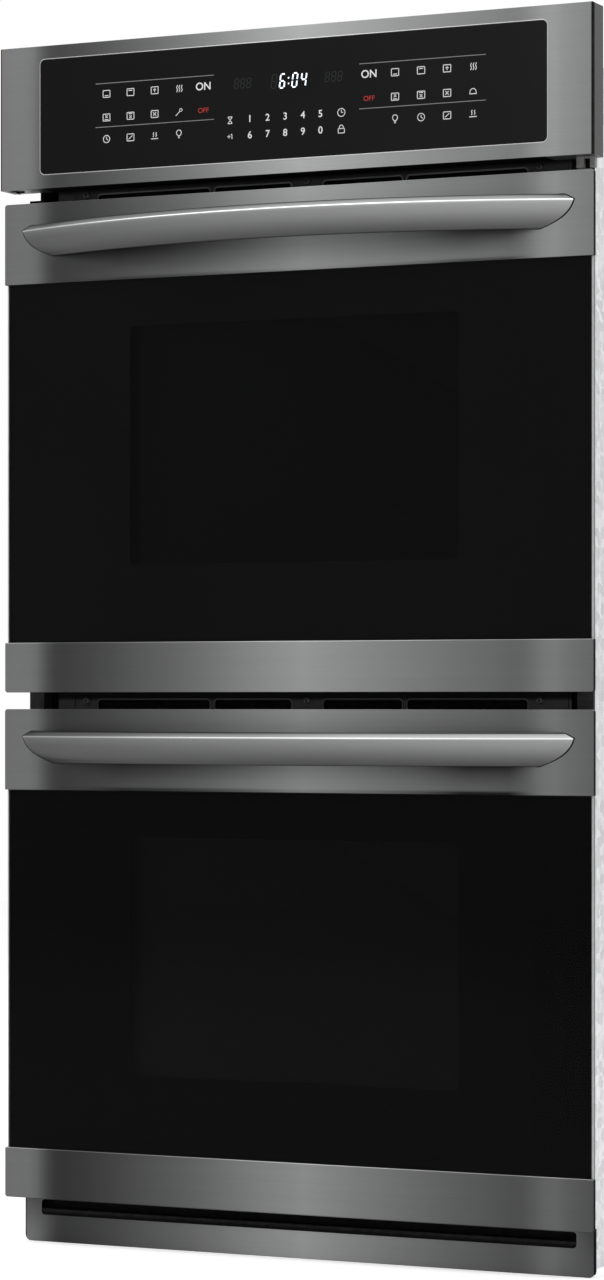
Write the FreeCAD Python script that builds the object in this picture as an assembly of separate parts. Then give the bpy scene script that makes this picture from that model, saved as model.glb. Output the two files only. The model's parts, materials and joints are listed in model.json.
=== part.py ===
import FreeCAD, Part
import math
import os

# Double wall oven for a 27 inch cabinet: two drop-down doors under a touch control panel,
# with the built-in chassis, cavities, fans, hinges, latches and racks behind them.
# Everything is drawn with y = 0 on the front plane of the door strips, +Y into the cabinet,
# z = 0 under the base pan, and moved at the end so that y = 0 is the middle of the depth.

V = FreeCAD.Vector

# ---- overall sizes (mm) ----
door_width = 683.0
panel_overhang = 1.4         # control panel beyond the doors, each side: 27 inches across
chassis_inset = 30.5         # chassis inside the doors' edges: passes a 24 7/8 inch cut-out
body_depth = 625.0           # door face to the rearmost point
lower_door_bottom = 50.5
door_height = 530.5
door_gap = 18.0              # between the two doors
panel_gap = 14.2             # between the upper door and the control panel
panel_height = 154.3
panel_rise = 48.0            # how far the panel stands above the chassis

# ---- sheet and fits ----
sheet = 1.5                  # chassis sheet metal
thin = 1.2                   # door and cavity sheet metal
running_fit = 0.05           # radial gap of a shaft in its bore
slide_gap = 0.3              # beside a rack, hook or arm
screw_radius = 2.0
screw_head_radius = 4.0
screw_head_height = 2.2
screw_reach = 4.0            # screw shank beyond its sheet

# ---- doors ----
strip_skin = 1.2             # front skin of the metal strips
strip_side = 1.8             # end returns of the strips
strip_corner = 3.0
handle_strip_height = 87.5
lower_strip_height = 54.0
door_glass_inset = 3.4       # glass edge inside the door's edge
door_glass_front = 2.5       # the glass lies this far behind the strips
door_glass_thickness = 3.2
glass_tuck = 4.0             # glass hidden behind each strip
frame_edge = 1.6             # frame edge beside the glass
frame_edge_inset = 0.5       # that edge lies behind the face of the glass
door_body_inset = 15.5       # body side inside the door's edge
door_body_back = 27.0        # depth of the closed door body
door_body_drop = 4.0         # body bottom above the strip bottom
door_body_head = 8.5         # body top below the strip top
plug_inset = 28.0            # raised inner face, inside the body's side
plug_back = 47.0
plug_foot = 21.0             # plug bottom above the door bottom
plug_head = 15.5             # plug top below the door top
plug_corner = 20.0
window_width = 387.0
window_height = 262.0
window_foot = 134.0          # window bottom above the door bottom
window_corner = 8.0
window_seat = 14.0           # how far the inner panes overlap the window edge
pane_thickness = 4.0
middle_pane_front = 15.0

# ---- handles ----
handle_inset = 20.5          # handle tip inside the door's edge
handle_reach = 66.0
handle_thickness = 20.0
handle_drop = 29.8           # ridge line below the door top
handle_facet_height = 6.2
handle_facet_depth = 4.5
handle_face_height = 29.1
handle_face_depth = 14.0
handle_bulge = 2.5
handle_bolt_inset = 41.0     # bolt inside the handle's tip
handle_bolt_drop = 10.0      # bolt below the ridge line
handle_bolt_radius = 2.5
handle_bolt_depth = 5.0      # thread inside the handle
handle_bolt_head_radius = 4.5
handle_bolt_head_height = 3.5
handle_boss_radius = 8.0

# ---- door hinges ----
hinge_depth = 16.5           # hinge axis behind the door face
hinge_rise = 11.0            # hinge axis above the door bottom
hinge_inset = 36.0           # hinge arm inside the body's side
hinge_arm_thickness = 6.0
hinge_eye_radius = 6.0
hinge_pin_radius = 3.0
hinge_channel_wall = 2.0
hinge_channel_height = 150.0
hinge_channel_back = 25.0
hinge_arm_end = 105.0
hinge_notch_gap = 1.5        # beside the arm, in the door sheets
receiver_wall = 3.0
receiver_length = 60.0

# ---- front frame and cavities ----
frame_front = 50.0           # front face of the cavity frames
frame_foot = 4.3             # cavity frame bottom above the door bottom
frame_head = 4.3             # cavity frame top below the door top
floor_rise = 63.0            # cavity floor above the door bottom
cavity_head_room = 67.5      # cavity ceiling below the door top
cavity_side_room = 46.0      # cavity wall to the outside of the chassis
cavity_rear_room = 95.0
cavity_corner = 12.0
ledge_width = 12.0
ledge_height = 5.0
ledge_pitch = 61.0
ledge_first = 46.0           # first ledge above the floor
ledge_count = 5
ledge_front_inset = 12.0
ledge_rear_room = 56.0
gasket_width = 9.0
gasket_offset = 8.0          # gasket centre line outside the cavity mouth
insulation_thickness = 26.0
element_space = 11.0         # room for the bake element under the floor

# ---- racks ----
rack_side_gap = 7.0          # rack edge to the cavity wall
rack_front_inset = 12.0
rack_rear_room = 56.0
rack_rod_radius = 3.0
rack_wire_radius = 1.6
rack_wire_count = 17
rack_stop_height = 18.0      # raised rod at the rear edge
rack_stop_inset = 30.0
rack_upper_level = 3         # ledge numbers, counted from 0
rack_lower_level = 1

# ---- heating, air and sensing ----
element_radius = 3.4
broil_drop = 24.0
element_bend = 22.0
element_tail = 44.0          # terminals behind the cavity wall
element_leg_x = 40.0
element_loop_x = 45.0
element_front_room = 60.0    # loops of the serpentine inside the cavity's mouth, wall and rear
element_side_room = 55.0
element_lane_room = 140.0
element_turn_room = 150.0
element_rear_room = 80.0
fan_radius = 72.0
fan_blade_width = 20.0
fan_blade_count = 12
fan_hub_radius = 12.0
fan_shaft_radius = 4.0
fan_wall_gap = 8.0           # fan disc to the cavity wall
baffle_size = 300.0
baffle_depth = 40.0
baffle_corner = 30.0
baffle_hole_radius = 5.0
baffle_hole_pitch = 15.0
baffle_hole_rings = 4
baffle_slot_pitch = 45.0
ring_element_radius = 98.0
ring_leg_x = 20.0
ring_leg_radius = 3.0
motor_radius = 36.0
motor_length = 52.0
motor_flange_radius = 50.0
motor_flange_thickness = 2.0
lamp_lens_radius = 28.0
lamp_body_radius = 21.0
lamp_lens_thickness = 4.0
lamp_body_length = 28.0
lamp_depth = 400.0
lamp_drop = 60.0
sensor_radius = 3.0
sensor_length = 70.0
sensor_x = 190.0
sensor_drop = 45.0
sensor_plate = 24.0

# ---- door latches ----
latch_drop = 25.5            # hook below the door top
latch_depth = 68.0           # pivot behind the door face
latch_radius = 35.0
latch_width = 7.0
latch_plate = 4.0
latch_lip_angle = 22.0
latch_lip_width = 6.0
latch_pin_radius = 3.0
latch_slot_height = 9.0
latch_motor_radius = 20.0
latch_motor_height = 11.0
latch_bracket = 50.0         # width of the bracket on the cavity frame
latch_collar_radius = 5.0
latch_slot_side = 0.5        # slot edge that the hook's lip catches behind

# ---- base, trims and vents ----
base_trim_inset = 9.5        # trim's end inside the door's edge
base_trim_height = 50.0
base_trim_front = 28.6
base_trim_fold = 5.0         # depth of the folded ends and top
base_trim_corner = 7.0
base_slot_inset = 20.3       # slot's end inside the trim's end
base_slot_bottom = 29.4
base_slot_top = 46.0
base_slot_corner = 4.0
pan_flange = 22.0            # height of the base pan's flanges
louver_top = 36.0
louver_inset = 14.0
louver_depth = 12.0
side_trim_front = 33.0
side_trim_inset = 12.7       # trim's outer edge inside the door's edge
side_trim_lip = 14.0
side_trim_top_over = 7.3     # side trim top above the upper door
side_trim_tongue = 4.5       # width of the front where it runs on up behind the control panel
cabinet_face = 37.5          # plane of the cabinet front behind the trims
web_front = 48.0             # front edge of the chassis sides and top
side_trim_hold = 24.0        # how far the trim channel laps the chassis side
cabinet_screw_radius = 2.4
cabinet_screw_inset = 8.4    # screw hole in from the trim's outer edge
cabinet_screw_low = 170.0
cabinet_screw_high = 1010.0
vent_front = 46.0
vent_outer_slot_start = 115.8
vent_outer_slot_inset = 49.0 # slot's end inside the trim's end
vent_inner_slot = (19.0, 109.5)
vent_slot_height = {"upper": 8.5, "middle": 11.0}
vent_slot_drop = {"upper": 3.0, "middle": 8.0}   # slot top below the upper edge of the gap
vent_inset = 11.0            # trim's end inside the chassis
vent_screw_inset = 35.0
vent_screw_drop = 2.2        # upper trim's screws below the upper edge of the gap
vent_slot_corner = 3.5
duct_inset = 21.0            # duct's side inside the chassis
duct_back = 600.0

# ---- control panel ----
panel_front = -7.0
panel_return = 31.0
panel_glass_inset = 49.3     # glass edge inside the panel's edge
panel_glass_height = 124.0
panel_glass_foot = 15.3      # glass bottom above the panel bottom
panel_glass_thickness = 4.0
panel_glass_proud = 0.2
panel_glass_corner = 5.5
panel_glass_gap = 0.3
panel_skin = 1.5
tray_inset = 11.0            # tray's side inside the chassis
tray_margin = 7.0            # tray inside the panel, top and bottom
tray_back = 42.0
tray_ledge = 10.0
tray_lug_length = 44.0
tray_lug_height = 70.0
tray_lug_drop = 8.0          # lug top below the chassis top
display_width = 96.0
display_height = 34.0
display_depth = 14.0
display_rim = 7.0
display_rise = 18.0          # display above the middle of the glass
board_width = 420.0
board_height = 84.0
board_thickness = 1.6
board_standoff = 8.0
standoff_radius = 4.0
standoff_inset = 12.0
board_part_height = 24.0     # centre line of the parts above the board's lower edge
# place along the board, width, depth and height: two relays, a transformer, a connector
board_parts = ((-150, 26, 9, 22), (-110, 26, 9, 22), (150, 44, 10, 30), (90, 40, 6, 14))

# ---- cooling blower ----
blower_depth = 350.0         # blower axis behind the door face
blower_radius = 92.0
blower_height = 60.0
blower_inlet_radius = 56.0
wheel_radius = 70.0
wheel_height = 44.0
wheel_blade_count = 24
wheel_blade_length = 14.0
wheel_disc = 2.0
wheel_gap = 6.0
blade_inset = 0.5            # blades stop short of the ring's edges
duct_height = 22.0
duct_length = 200.0
cooling_motor_radius = 30.0
cooling_motor_height = 26.0
cooling_arm_width = 10.0
cooling_motor_gap = 6.0      # motor above the scroll

# ---- rear and supply ----
gland_flange = 3.0
gland_bore = 11.0
gland_wall = 3.0
gland_flange_radius = 19.0
gland_depth = 20.0
supply_x = 200.0
supply_drop = 75.0           # supply inlet below the chassis top
junction_width = 110.0
junction_height = 80.0
junction_depth = 60.0
rear_slot_width = 60.0
rear_slot_height = 5.0
rear_slot_rows = 6
rear_slot_pitch = 14.0
rear_slot_corner = 2.2
rear_slot_x = 170.0
rear_slot_drop = 190.0       # lower end of the upper slot field, below the top
rear_screw_inset = 9.0
rear_screw_low = 12.0        # lowest row of rear screws
front_flange = 9.0           # side panel flanges, front and rear
rear_flange = 18.0
top_lip = 28.0               # turned-down edge of the top cover

# ---- derived places ----
door_pitch = door_height + door_gap
upper_door_bottom = lower_door_bottom + door_pitch
panel_bottom = upper_door_bottom + door_height + panel_gap
overall_height = panel_bottom + panel_height
chassis_height = overall_height - panel_rise
panel_width = door_width + 2 * panel_overhang
panel_glass_width = panel_width - 2 * panel_glass_inset
chassis_half = door_width / 2 - chassis_inset
inner_half = chassis_half - sheet
tray_half_width = chassis_half - tray_inset
duct_half_width = chassis_half - duct_inset
vent_half_width = chassis_half - vent_inset
vent_screw_x = vent_half_width - vent_screw_inset
vent_outer_slot = (vent_outer_slot_start, vent_half_width - vent_outer_slot_inset)
side_trim_edge = door_width / 2 - side_trim_inset
base_trim_width = door_width - 2 * base_trim_inset
base_slot_width = base_trim_width - 2 * base_slot_inset
louver_width = base_trim_width - 2 * louver_inset
door_glass_width = door_width - 2 * door_glass_inset
door_body_width = door_width - 2 * door_body_inset
plug_width = door_body_width - 2 * plug_inset
hinge_x = door_body_width / 2 - hinge_inset
handle_span = door_width - 2 * handle_inset
handle_bolt_x = handle_span / 2 - handle_bolt_inset
rear_face = body_depth - gland_flange
middle_depth = (body_depth - handle_reach) / 2
frame_plate_front = door_glass_front + door_glass_thickness
cavity_half = chassis_half - cavity_side_room
cavity_height = door_height - floor_rise - cavity_head_room
cavity_back = body_depth - cavity_rear_room
frame_back = frame_front + sheet
ledge_length = cavity_back - frame_front - ledge_front_inset - ledge_rear_room
rack_depth = cavity_back - frame_front - rack_front_inset - rack_rear_room
channel_gap = hinge_arm_thickness / 2 + slide_gap
channel_half = channel_gap + hinge_channel_wall
insulation_back = cavity_back + thin + insulation_thickness
ledge_tops = [ledge_first + ledge_pitch * n + ledge_height for n in range(ledge_count)]
vent_overlap = hinge_rise - hinge_eye_radius - slide_gap   # clears the hinge arms
oven_bottoms = {"upper": upper_door_bottom, "lower": lower_door_bottom}


# ---- drawing helpers ----
def block(x, y, z):
    """A box from three (low, high) pairs."""
    return Part.makeBox(x[1] - x[0], y[1] - y[0], z[1] - z[0], V(x[0], y[0], z[0]))


def about(middle, size):
    """The (low, high) pair of a size centred on a place."""
    return (middle - size / 2, middle + size / 2)


def grown(pair, by):
    """A (low, high) pair made longer at both ends."""
    return (pair[0] - by, pair[1] + by)


def rod(radius, start, end):
    """A round bar between two points."""
    line = end - start
    return Part.makeCylinder(radius, line.Length, start, line)


def edges_along(shape, axis):
    """The straight edges of a shape that run along one axis."""
    found = []
    for edge in shape.Edges:
        if len(edge.Vertexes) == 2:
            line = (edge.Vertexes[1].Point - edge.Vertexes[0].Point).normalize()
            if abs(line.dot(axis)) > 0.999:
                found.append(edge)
    return found


def soft_block(x, y, z, radius):
    """A box whose four corners, seen from the front, are rounded."""
    shape = block(x, y, z)
    return shape.makeFillet(radius, edges_along(shape, V(0, 1, 0)))


def joined(first, *others):
    """One solid out of touching pieces."""
    return first.fuse(list(others)).removeSplitter()


def mirrored(shape):
    """The same piece on the other side of the oven."""
    return shape.mirror(V(0, 0, 0), V(1, 0, 0))


def both_sides(shape):
    """A piece and its mirror image."""
    return [shape, mirrored(shape)]


def bent_path(points, radius):
    """A wire through points, with every corner rounded by the same arc."""
    edges, last = [], points[0]
    for before, corner, after in zip(points, points[1:], points[2:]):
        inward = (before - corner).normalize()
        outward = (after - corner).normalize()
        turn = inward.getAngle(outward)
        run = radius / math.tan(turn / 2)
        start, end = corner + inward * run, corner + outward * run
        middle = (inward + outward).normalize()
        apex = corner + middle * (radius / math.sin(turn / 2) - radius)
        edges.append(Part.LineSegment(last, start).toShape())
        edges.append(Part.Arc(start, apex, end).toShape())
        last = end
    edges.append(Part.LineSegment(last, points[-1]).toShape())
    return Part.Wire(edges)


def bent_tube(points, radius, bend):
    """A round tube along a bent path."""
    path = bent_path(points, bend)
    circle = Part.Wire(Part.makeCircle(radius, points[0], points[1] - points[0]))
    return path.makePipeShell([circle], True, False)


def screw(point, into):
    """A pan-head screw whose head rests at a point and whose shank runs along a direction."""
    head = rod(screw_head_radius, point - into * screw_head_height, point)
    shank = rod(screw_radius, point, point + into * screw_reach)
    return joined(head, shank)


def save(name, shape):
    """Write one named piece or group of pieces, moved to the common origin."""
    placed = shape.copy()
    placed.translate(V(0, -middle_depth, 0))
    placed.exportStep("parts/" + name + ".step")


def save_group(name, shapes):
    """Write several separate solids as one node."""
    save(name, Part.makeCompound(shapes))


# ---- where the screws go ----
def rear_screw_points():
    """Screws round the rear cover."""
    columns = (-inner_half + rear_screw_inset, 0, inner_half - rear_screw_inset)
    rows = (rear_screw_low, chassis_height / 3, 2 * chassis_height / 3, chassis_height - top_lip / 2)
    return [V(x, rear_face, z) for x in columns for z in rows if x != 0 or z in (rows[0], rows[-1])]


def vent_screw_points():
    """One screw in the middle of each vent trim and one near each of its ends."""
    heights = (gap_floor("middle") + door_gap / 2, gap_floor("upper") + panel_gap - vent_screw_drop)
    return [V(x, vent_front, z) for x in (-vent_screw_x, 0, vent_screw_x) for z in heights]


def gap_floor(which):
    """Height of the door edge below one of the two vent gaps."""
    if which == "middle":
        return lower_door_bottom + door_height
    return upper_door_bottom + door_height


# ---- chassis ----
def base_pan():
    """The flat pan that the oven stands on, with an upturned flange all round."""
    front = base_trim_front + sheet
    pan = block((-inner_half, inner_half), (front, rear_face - sheet), (0, pan_flange))
    hollow = block(about(0, 2 * (inner_half - sheet)), (front + sheet, rear_face - 2 * sheet),
                   (sheet, pan_flange + 1))
    pan = pan.cut(hollow)
    return pan.cut([rod(screw_radius, p - V(0, 6, 0), p) for p in rear_screw_points()])


def base_trim():
    """The bottom trim with its long air slot, folded back at the ends and the top."""
    y = (base_trim_front, base_trim_front + base_trim_fold)
    outer = block(about(0, base_trim_width), y, (0, base_trim_height))
    lower = [e for e in edges_along(outer, V(0, 1, 0)) if e.BoundBox.ZMin < 1]
    outer = outer.makeFillet(base_trim_corner, lower)
    inner = block(about(0, base_trim_width - 2 * sheet), (y[0] + sheet, y[1] + 1),
                  (-1, base_trim_height - sheet))
    slot = soft_block(about(0, base_slot_width), (y[0] - 1, y[0] + 3),
                      (base_slot_bottom, base_slot_top), base_slot_corner)
    return outer.cut([inner, slot])


def base_louver():
    """The vane behind the base slot: an upright lip with a shelf folded back."""
    front = base_trim_front + sheet
    lip = block(about(0, louver_width), (front, front + sheet), (pan_flange, louver_top))
    shelf = block(about(0, louver_width), (front, front + louver_depth), (louver_top - sheet, louver_top))
    return joined(lip, shelf)


def side_panel():
    """The right side sheet with a front flange turned inwards behind the cavity frames."""
    web = block((inner_half, chassis_half), (web_front, rear_face), (0, chassis_height - sheet))
    low = pan_flange + slide_gap
    flange = block((inner_half - front_flange, inner_half), (frame_back, frame_back + sheet),
                   (low, gap_floor("upper") - frame_head))
    rear = block((inner_half - rear_flange, inner_half), (rear_face - 2 * sheet, rear_face - sheet),
                 (low, chassis_height - top_lip - slide_gap))
    cuts = [rod(screw_radius, p - V(0, 6, 0), p) for p in rear_screw_points()]
    return joined(web, flange, rear).cut(cuts)


def side_trim():
    """The right trim channel beside the doors, screwed to the cabinet front."""
    z = (base_trim_height, gap_floor("upper") + side_trim_top_over)
    outer = side_trim_edge
    front = block((chassis_half, outer), (side_trim_front, side_trim_front + sheet), z)
    side = block((outer - sheet, outer), (side_trim_front, cabinet_face), z)
    lip = block((outer - side_trim_lip, outer), (cabinet_face - sheet, cabinet_face), z)
    tail = block((chassis_half, chassis_half + sheet), (side_trim_front, web_front + side_trim_hold),
                 (z[0], gap_floor("upper") + panel_gap + vent_overlap))
    tongue = block((chassis_half, chassis_half + side_trim_tongue), (side_trim_front, side_trim_front + sheet),
                   (z[1] - 1, gap_floor("upper") + panel_gap + vent_overlap))
    trim = joined(front, side, lip, tail, tongue)
    for height in (cabinet_screw_low, cabinet_screw_high):
        hole = V(outer - cabinet_screw_inset, side_trim_front - 1, height)
        trim = trim.cut(rod(cabinet_screw_radius, hole, hole + V(0, 20, 0)))
    return trim


def rear_cover():
    """The rear sheet with two fields of air slots and the supply hole."""
    cover = block(about(0, 2 * inner_half), (rear_face - sheet, rear_face),
                  (0, chassis_height - sheet))
    cuts = []
    for side in (-1, 1):
        for row in range(rear_slot_rows):
            for height in (chassis_height / 2, chassis_height - rear_slot_drop):
                z = height + row * rear_slot_pitch
                x = about(side * rear_slot_x, rear_slot_width)
                cuts.append(soft_block(x, (rear_face - 5, rear_face + 1), (z, z + rear_slot_height),
                                       rear_slot_corner))
    inlet = supply_point()
    cuts.append(rod(gland_bore + gland_wall, inlet - V(0, 10, 0), inlet + V(0, 1, 0)))
    for point in rear_screw_points():
        cuts.append(rod(screw_radius, point - V(0, 4, 0), point + V(0, 1, 0)))
    return cover.cut(cuts)


def top_cover():
    """The flat top sheet of the chassis with a turned-down rear flange."""
    top = block((-chassis_half, chassis_half), (web_front, rear_face),
                (chassis_height - sheet, chassis_height))
    lip = block((-inner_half + 1, inner_half - 1), (rear_face - 2 * sheet, rear_face - sheet),
                (chassis_height - top_lip, chassis_height - sheet))
    cuts = [rod(screw_radius, p - V(0, 6, 0), p) for p in rear_screw_points()]
    return joined(top, lip).cut(cuts)


def middle_duct():
    """The flat air duct between the two cavities, open at the front and the rear."""
    floor = gap_floor("middle")
    z = (floor - frame_head, floor + door_gap)
    duct = block(about(0, 2 * duct_half_width), (frame_back, duct_back), z)
    hollow = block(about(0, 2 * (duct_half_width - sheet)), (frame_back - 1, duct_back + 1),
                   grown(z, -sheet))
    wings = block(about(0, 2 * inner_half), (frame_back + sheet, duct_back), (z[1] - sheet, z[1]))
    return joined(duct.cut(hollow), wings)


def vent_trim(which):
    """A black slotted trim that closes one of the gaps above a door."""
    low = gap_floor(which)
    high = low + (door_gap if which == "middle" else panel_gap)
    z = (low - vent_overlap, high + vent_overlap)
    outer = block(about(0, 2 * vent_half_width), (vent_front, frame_front), z)
    inner = block(about(0, 2 * vent_half_width + 2), (vent_front + sheet, frame_front + 1),
                  grown(z, -sheet))
    trim = outer.cut(inner)
    cuts = []
    top = high - vent_slot_drop[which]
    for slot in (vent_outer_slot, vent_inner_slot):
        hole = soft_block(slot, (vent_front - 1, vent_front + 3), (top - vent_slot_height[which], top),
                          vent_slot_corner)
        cuts.extend(both_sides(hole))
    for point in vent_screw_points():
        cuts.append(rod(screw_radius, point - V(0, 1, 0), point + V(0, 3, 0)))
    return trim.cut(cuts)


def chassis_screws():
    """All the pan-head screws that hold covers and trims."""
    screws = [screw(p, V(0, -1, 0)) for p in rear_screw_points()]
    screws += [screw(p, V(0, 1, 0)) for p in vent_screw_points()]
    return screws


# ---- control panel ----
def panel_glass_z():
    """Height range of the control glass."""
    low = panel_bottom + panel_glass_foot
    return (low, low + panel_glass_height)


def control_panel_trim():
    """The metal fascia, folded back all round, with the opening for the control glass."""
    y = (panel_front, panel_front + panel_return)
    z = (panel_bottom, overall_height)
    outer = block(about(0, panel_width), y, z)
    inner = block(about(0, panel_width - 2 * panel_skin), (y[0] + panel_skin, y[1] + 1),
                  grown(z, -panel_skin))
    hole = soft_block(about(0, panel_glass_width + 2 * panel_glass_gap), (y[0] - 1, y[0] + 5),
                      grown(panel_glass_z(), panel_glass_gap), panel_glass_corner + panel_glass_gap)
    return outer.cut([inner, hole])


def control_glass():
    """The touch glass, a little proud of the fascia."""
    front = panel_front - panel_glass_proud
    return soft_block(about(0, panel_glass_width), (front, front + panel_glass_thickness),
                      panel_glass_z(), panel_glass_corner)


def tray_z():
    """Height range of the control tray."""
    return (panel_bottom + tray_margin, overall_height - tray_margin)


def control_tray():
    """The pan behind the fascia that carries the glass, the display and the board."""
    front = panel_front + panel_skin
    z = tray_z()
    tray = block(about(0, 2 * tray_half_width), (front, tray_back), z)
    tray = tray.cut(block(about(0, 2 * (tray_half_width - sheet)), (front - 1, tray_back - sheet),
                          grown(z, -sheet)))
    seat = panel_front - panel_glass_proud + panel_glass_thickness
    ledge = block(about(0, 2 * tray_half_width), (seat, seat + sheet), z)
    ledge = ledge.cut(block(about(0, panel_glass_width - 2 * tray_ledge), (seat - 1, seat + 3),
                            grown(panel_glass_z(), -tray_ledge)))
    lug_z = (chassis_height - tray_lug_drop - tray_lug_height, chassis_height - tray_lug_drop)
    lug = block((inner_half - sheet, inner_half), (tray_back - sheet, tray_back + tray_lug_length), lug_z)
    web = block((tray_half_width - sheet, inner_half), (tray_back - sheet, tray_back), lug_z)
    return joined(tray, ledge, *both_sides(joined(lug, web)))


def display_module():
    """The display behind the middle of the control glass."""
    seat = panel_front - panel_glass_proud + panel_glass_thickness
    z = sum(panel_glass_z()) / 2 + display_rise
    body = block(about(0, display_width), (seat, seat + display_depth), about(z, display_height))
    window = block(about(0, display_width - 2 * display_rim), (seat - 1, seat + 2),
                   about(z, display_height - 2 * display_rim))
    return body.cut(window)


def control_board():
    """The circuit board on four standoffs, with two relays, a transformer and a connector."""
    back = tray_back - sheet
    z = about(sum(tray_z()) / 2 - 4, board_height)
    face = back - board_standoff
    board = block(about(0, board_width), (face - board_thickness, face), z)
    posts = [rod(standoff_radius, V(x, face, h), V(x, back, h))
             for x in grown(about(0, board_width), -standoff_inset) for h in grown(z, -standoff_inset)]
    front = face - board_thickness
    parts = [block(about(x, wide), (front - deep, front), about(z[0] + board_part_height, high))
             for x, wide, deep, high in board_parts]
    return joined(board, *posts, *parts)


# ---- cavities ----
def cavity_box(bottom, grow):
    """The cavity's inner space, made larger by a wall."""
    floor = bottom + floor_rise
    return soft_block(about(0, 2 * (cavity_half + grow)), (frame_front, cavity_back + grow),
                      (floor - grow, floor + cavity_height + grow), cavity_corner + grow)


def hinge_axis_z(bottom):
    """Height of a door's hinge axis."""
    return bottom + hinge_rise


def latch_z(bottom):
    """Height of a door's latch hook."""
    return bottom + door_height - latch_drop


def fan_centre_z(bottom):
    """Height of a convection fan's axis."""
    return bottom + floor_rise + cavity_height / 2


def lamp_point(bottom):
    """Where the right lamp meets the cavity wall."""
    return V(cavity_half, lamp_depth, bottom + floor_rise + cavity_height - lamp_drop)


def sensor_point(bottom):
    """Where the temperature probe passes the rear wall."""
    return V(-sensor_x, cavity_back, bottom + floor_rise + cavity_height - sensor_drop)


def broil_points(bottom):
    """Corners of the broil element, a serpentine under the ceiling."""
    return element_points(bottom + floor_rise + cavity_height - broil_drop)


def bake_points(bottom):
    """Corners of the bake element, the same serpentine under the floor."""
    return element_points(bottom + floor_rise - thin - element_space / 2)


def ring_leg_points(bottom):
    """Where the legs of the ring element meet the cavity's rear wall."""
    drop = math.sqrt(ring_element_radius ** 2 - ring_leg_x ** 2)
    return [V(x, cavity_back, fan_centre_z(bottom) - drop) for x in (-ring_leg_x, ring_leg_x)]


def element_points(z):
    """A serpentine that starts and ends behind the rear wall."""
    front = frame_front + element_front_room
    near, rear = cavity_back - element_turn_room, cavity_back - element_rear_room
    side, lane = cavity_half - element_side_room, cavity_half - element_lane_room
    tail = cavity_back + element_tail
    half = [(element_leg_x, tail), (element_leg_x, rear), (side, rear), (side, front), (lane, front),
            (lane, near), (element_loop_x, near), (element_loop_x, front)]
    right = [V(x, y, z) for x, y in half]
    left = [V(-x, y, z) for x, y in reversed(half)]
    return right + left


def cavity(bottom):
    """An enamelled oven cavity with its front frame and rack ledges."""
    shell = cavity_box(bottom, thin)
    plate = block(about(0, 2 * inner_half), (frame_front, frame_back),
                  (bottom + frame_foot, bottom + door_height - frame_head))
    walls = joined(shell, plate).cut(cavity_box(bottom, 0))
    floor = bottom + floor_rise
    ledge_y = (frame_front + ledge_front_inset, frame_front + ledge_front_inset + ledge_length)
    ledges = []
    for top in ledge_tops:
        ledge = block((cavity_half - ledge_width, cavity_half), ledge_y,
                      (floor + top - ledge_height, floor + top))
        ledges.extend(both_sides(ledge))
    return joined(walls, *ledges).cut(cavity_cuts(bottom))


def cavity_cuts(bottom):
    """Holes in the cavity for the fan, lamps, probe, elements, hinge arms and latch hook."""
    behind = V(0, 30, 0)
    fan = V(0, cavity_back - 5, fan_centre_z(bottom))
    cuts = [rod(fan_shaft_radius + 4, fan, fan + behind)]
    lamp = lamp_point(bottom)
    cuts += both_sides(rod(lamp_body_radius, lamp - V(1, 0, 0), lamp + V(10, 0, 0)))
    probe = sensor_point(bottom)
    cuts.append(rod(sensor_radius, probe - V(0, 1, 0), probe + behind))
    ends = broil_points(bottom)
    for leg in (ends[0], ends[-1]):
        start = V(leg.x, cavity_back - 1, leg.z)
        cuts.append(rod(element_radius, start, start + behind))
    cuts += [rod(ring_leg_radius, leg - V(0, 1, 0), leg + behind) for leg in ring_leg_points(bottom)]
    arm = block(about(hinge_x, 2 * channel_gap + 4), (frame_front - 1, frame_back + 1),
                about(hinge_axis_z(bottom), 2 * hinge_eye_radius + 4))
    cuts += both_sides(arm)
    cuts.append(block((-6, latch_radius + 6), (frame_front - 1, frame_back + 1),
                      about(latch_z(bottom), latch_slot_height)))
    return cuts


def insulation(bottom):
    """The blanket round a cavity, with room for the bake element and the fittings behind."""
    floor = bottom + floor_rise
    top = floor + cavity_height + thin
    z = (floor - thin - element_space - insulation_thickness, top + insulation_thickness)
    x = about(0, 2 * (cavity_half + thin + insulation_thickness))
    blanket = block(x, (frame_back + 2 * sheet, insulation_back), z)
    room = block(about(0, 2 * (cavity_half + thin)), (frame_back, cavity_back + thin),
                 (floor - thin - element_space, top))
    motor = V(0, cavity_back, fan_centre_z(bottom))
    cuts = [room, rod(motor_flange_radius + 2, motor, motor + V(0, 60, 0))]
    lamp = lamp_point(bottom)
    cuts += both_sides(rod(lamp_body_radius + 1, lamp, lamp + V(60, 0, 0)))
    probe = sensor_point(bottom)
    cuts.append(block(about(probe.x, sensor_plate + 2), (cavity_back, insulation_back + 1),
                      about(probe.z, sensor_plate + 2)))
    legs = ring_leg_points(bottom)
    for points in (broil_points(bottom), bake_points(bottom)):
        legs += [points[0], points[-1]]
    for leg in legs:
        cuts.append(rod(element_radius + 1, V(leg.x, cavity_back, leg.z),
                        V(leg.x, insulation_back + 1, leg.z)))
    return blanket.cut(cuts)


def gasket(bottom):
    """The flat woven seal round a cavity mouth."""
    floor = bottom + floor_rise
    depth = (plug_back + slide_gap, frame_front)
    out, inside = gasket_offset + gasket_width / 2, gasket_offset - gasket_width / 2
    x, z = about(0, 2 * cavity_half), (floor, floor + cavity_height)
    outer = soft_block(grown(x, out), depth, grown(z, out), cavity_corner + out)
    inner = soft_block(grown(x, inside), grown(depth, 1), grown(z, inside), cavity_corner + inside)
    return outer.cut(inner)


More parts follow.
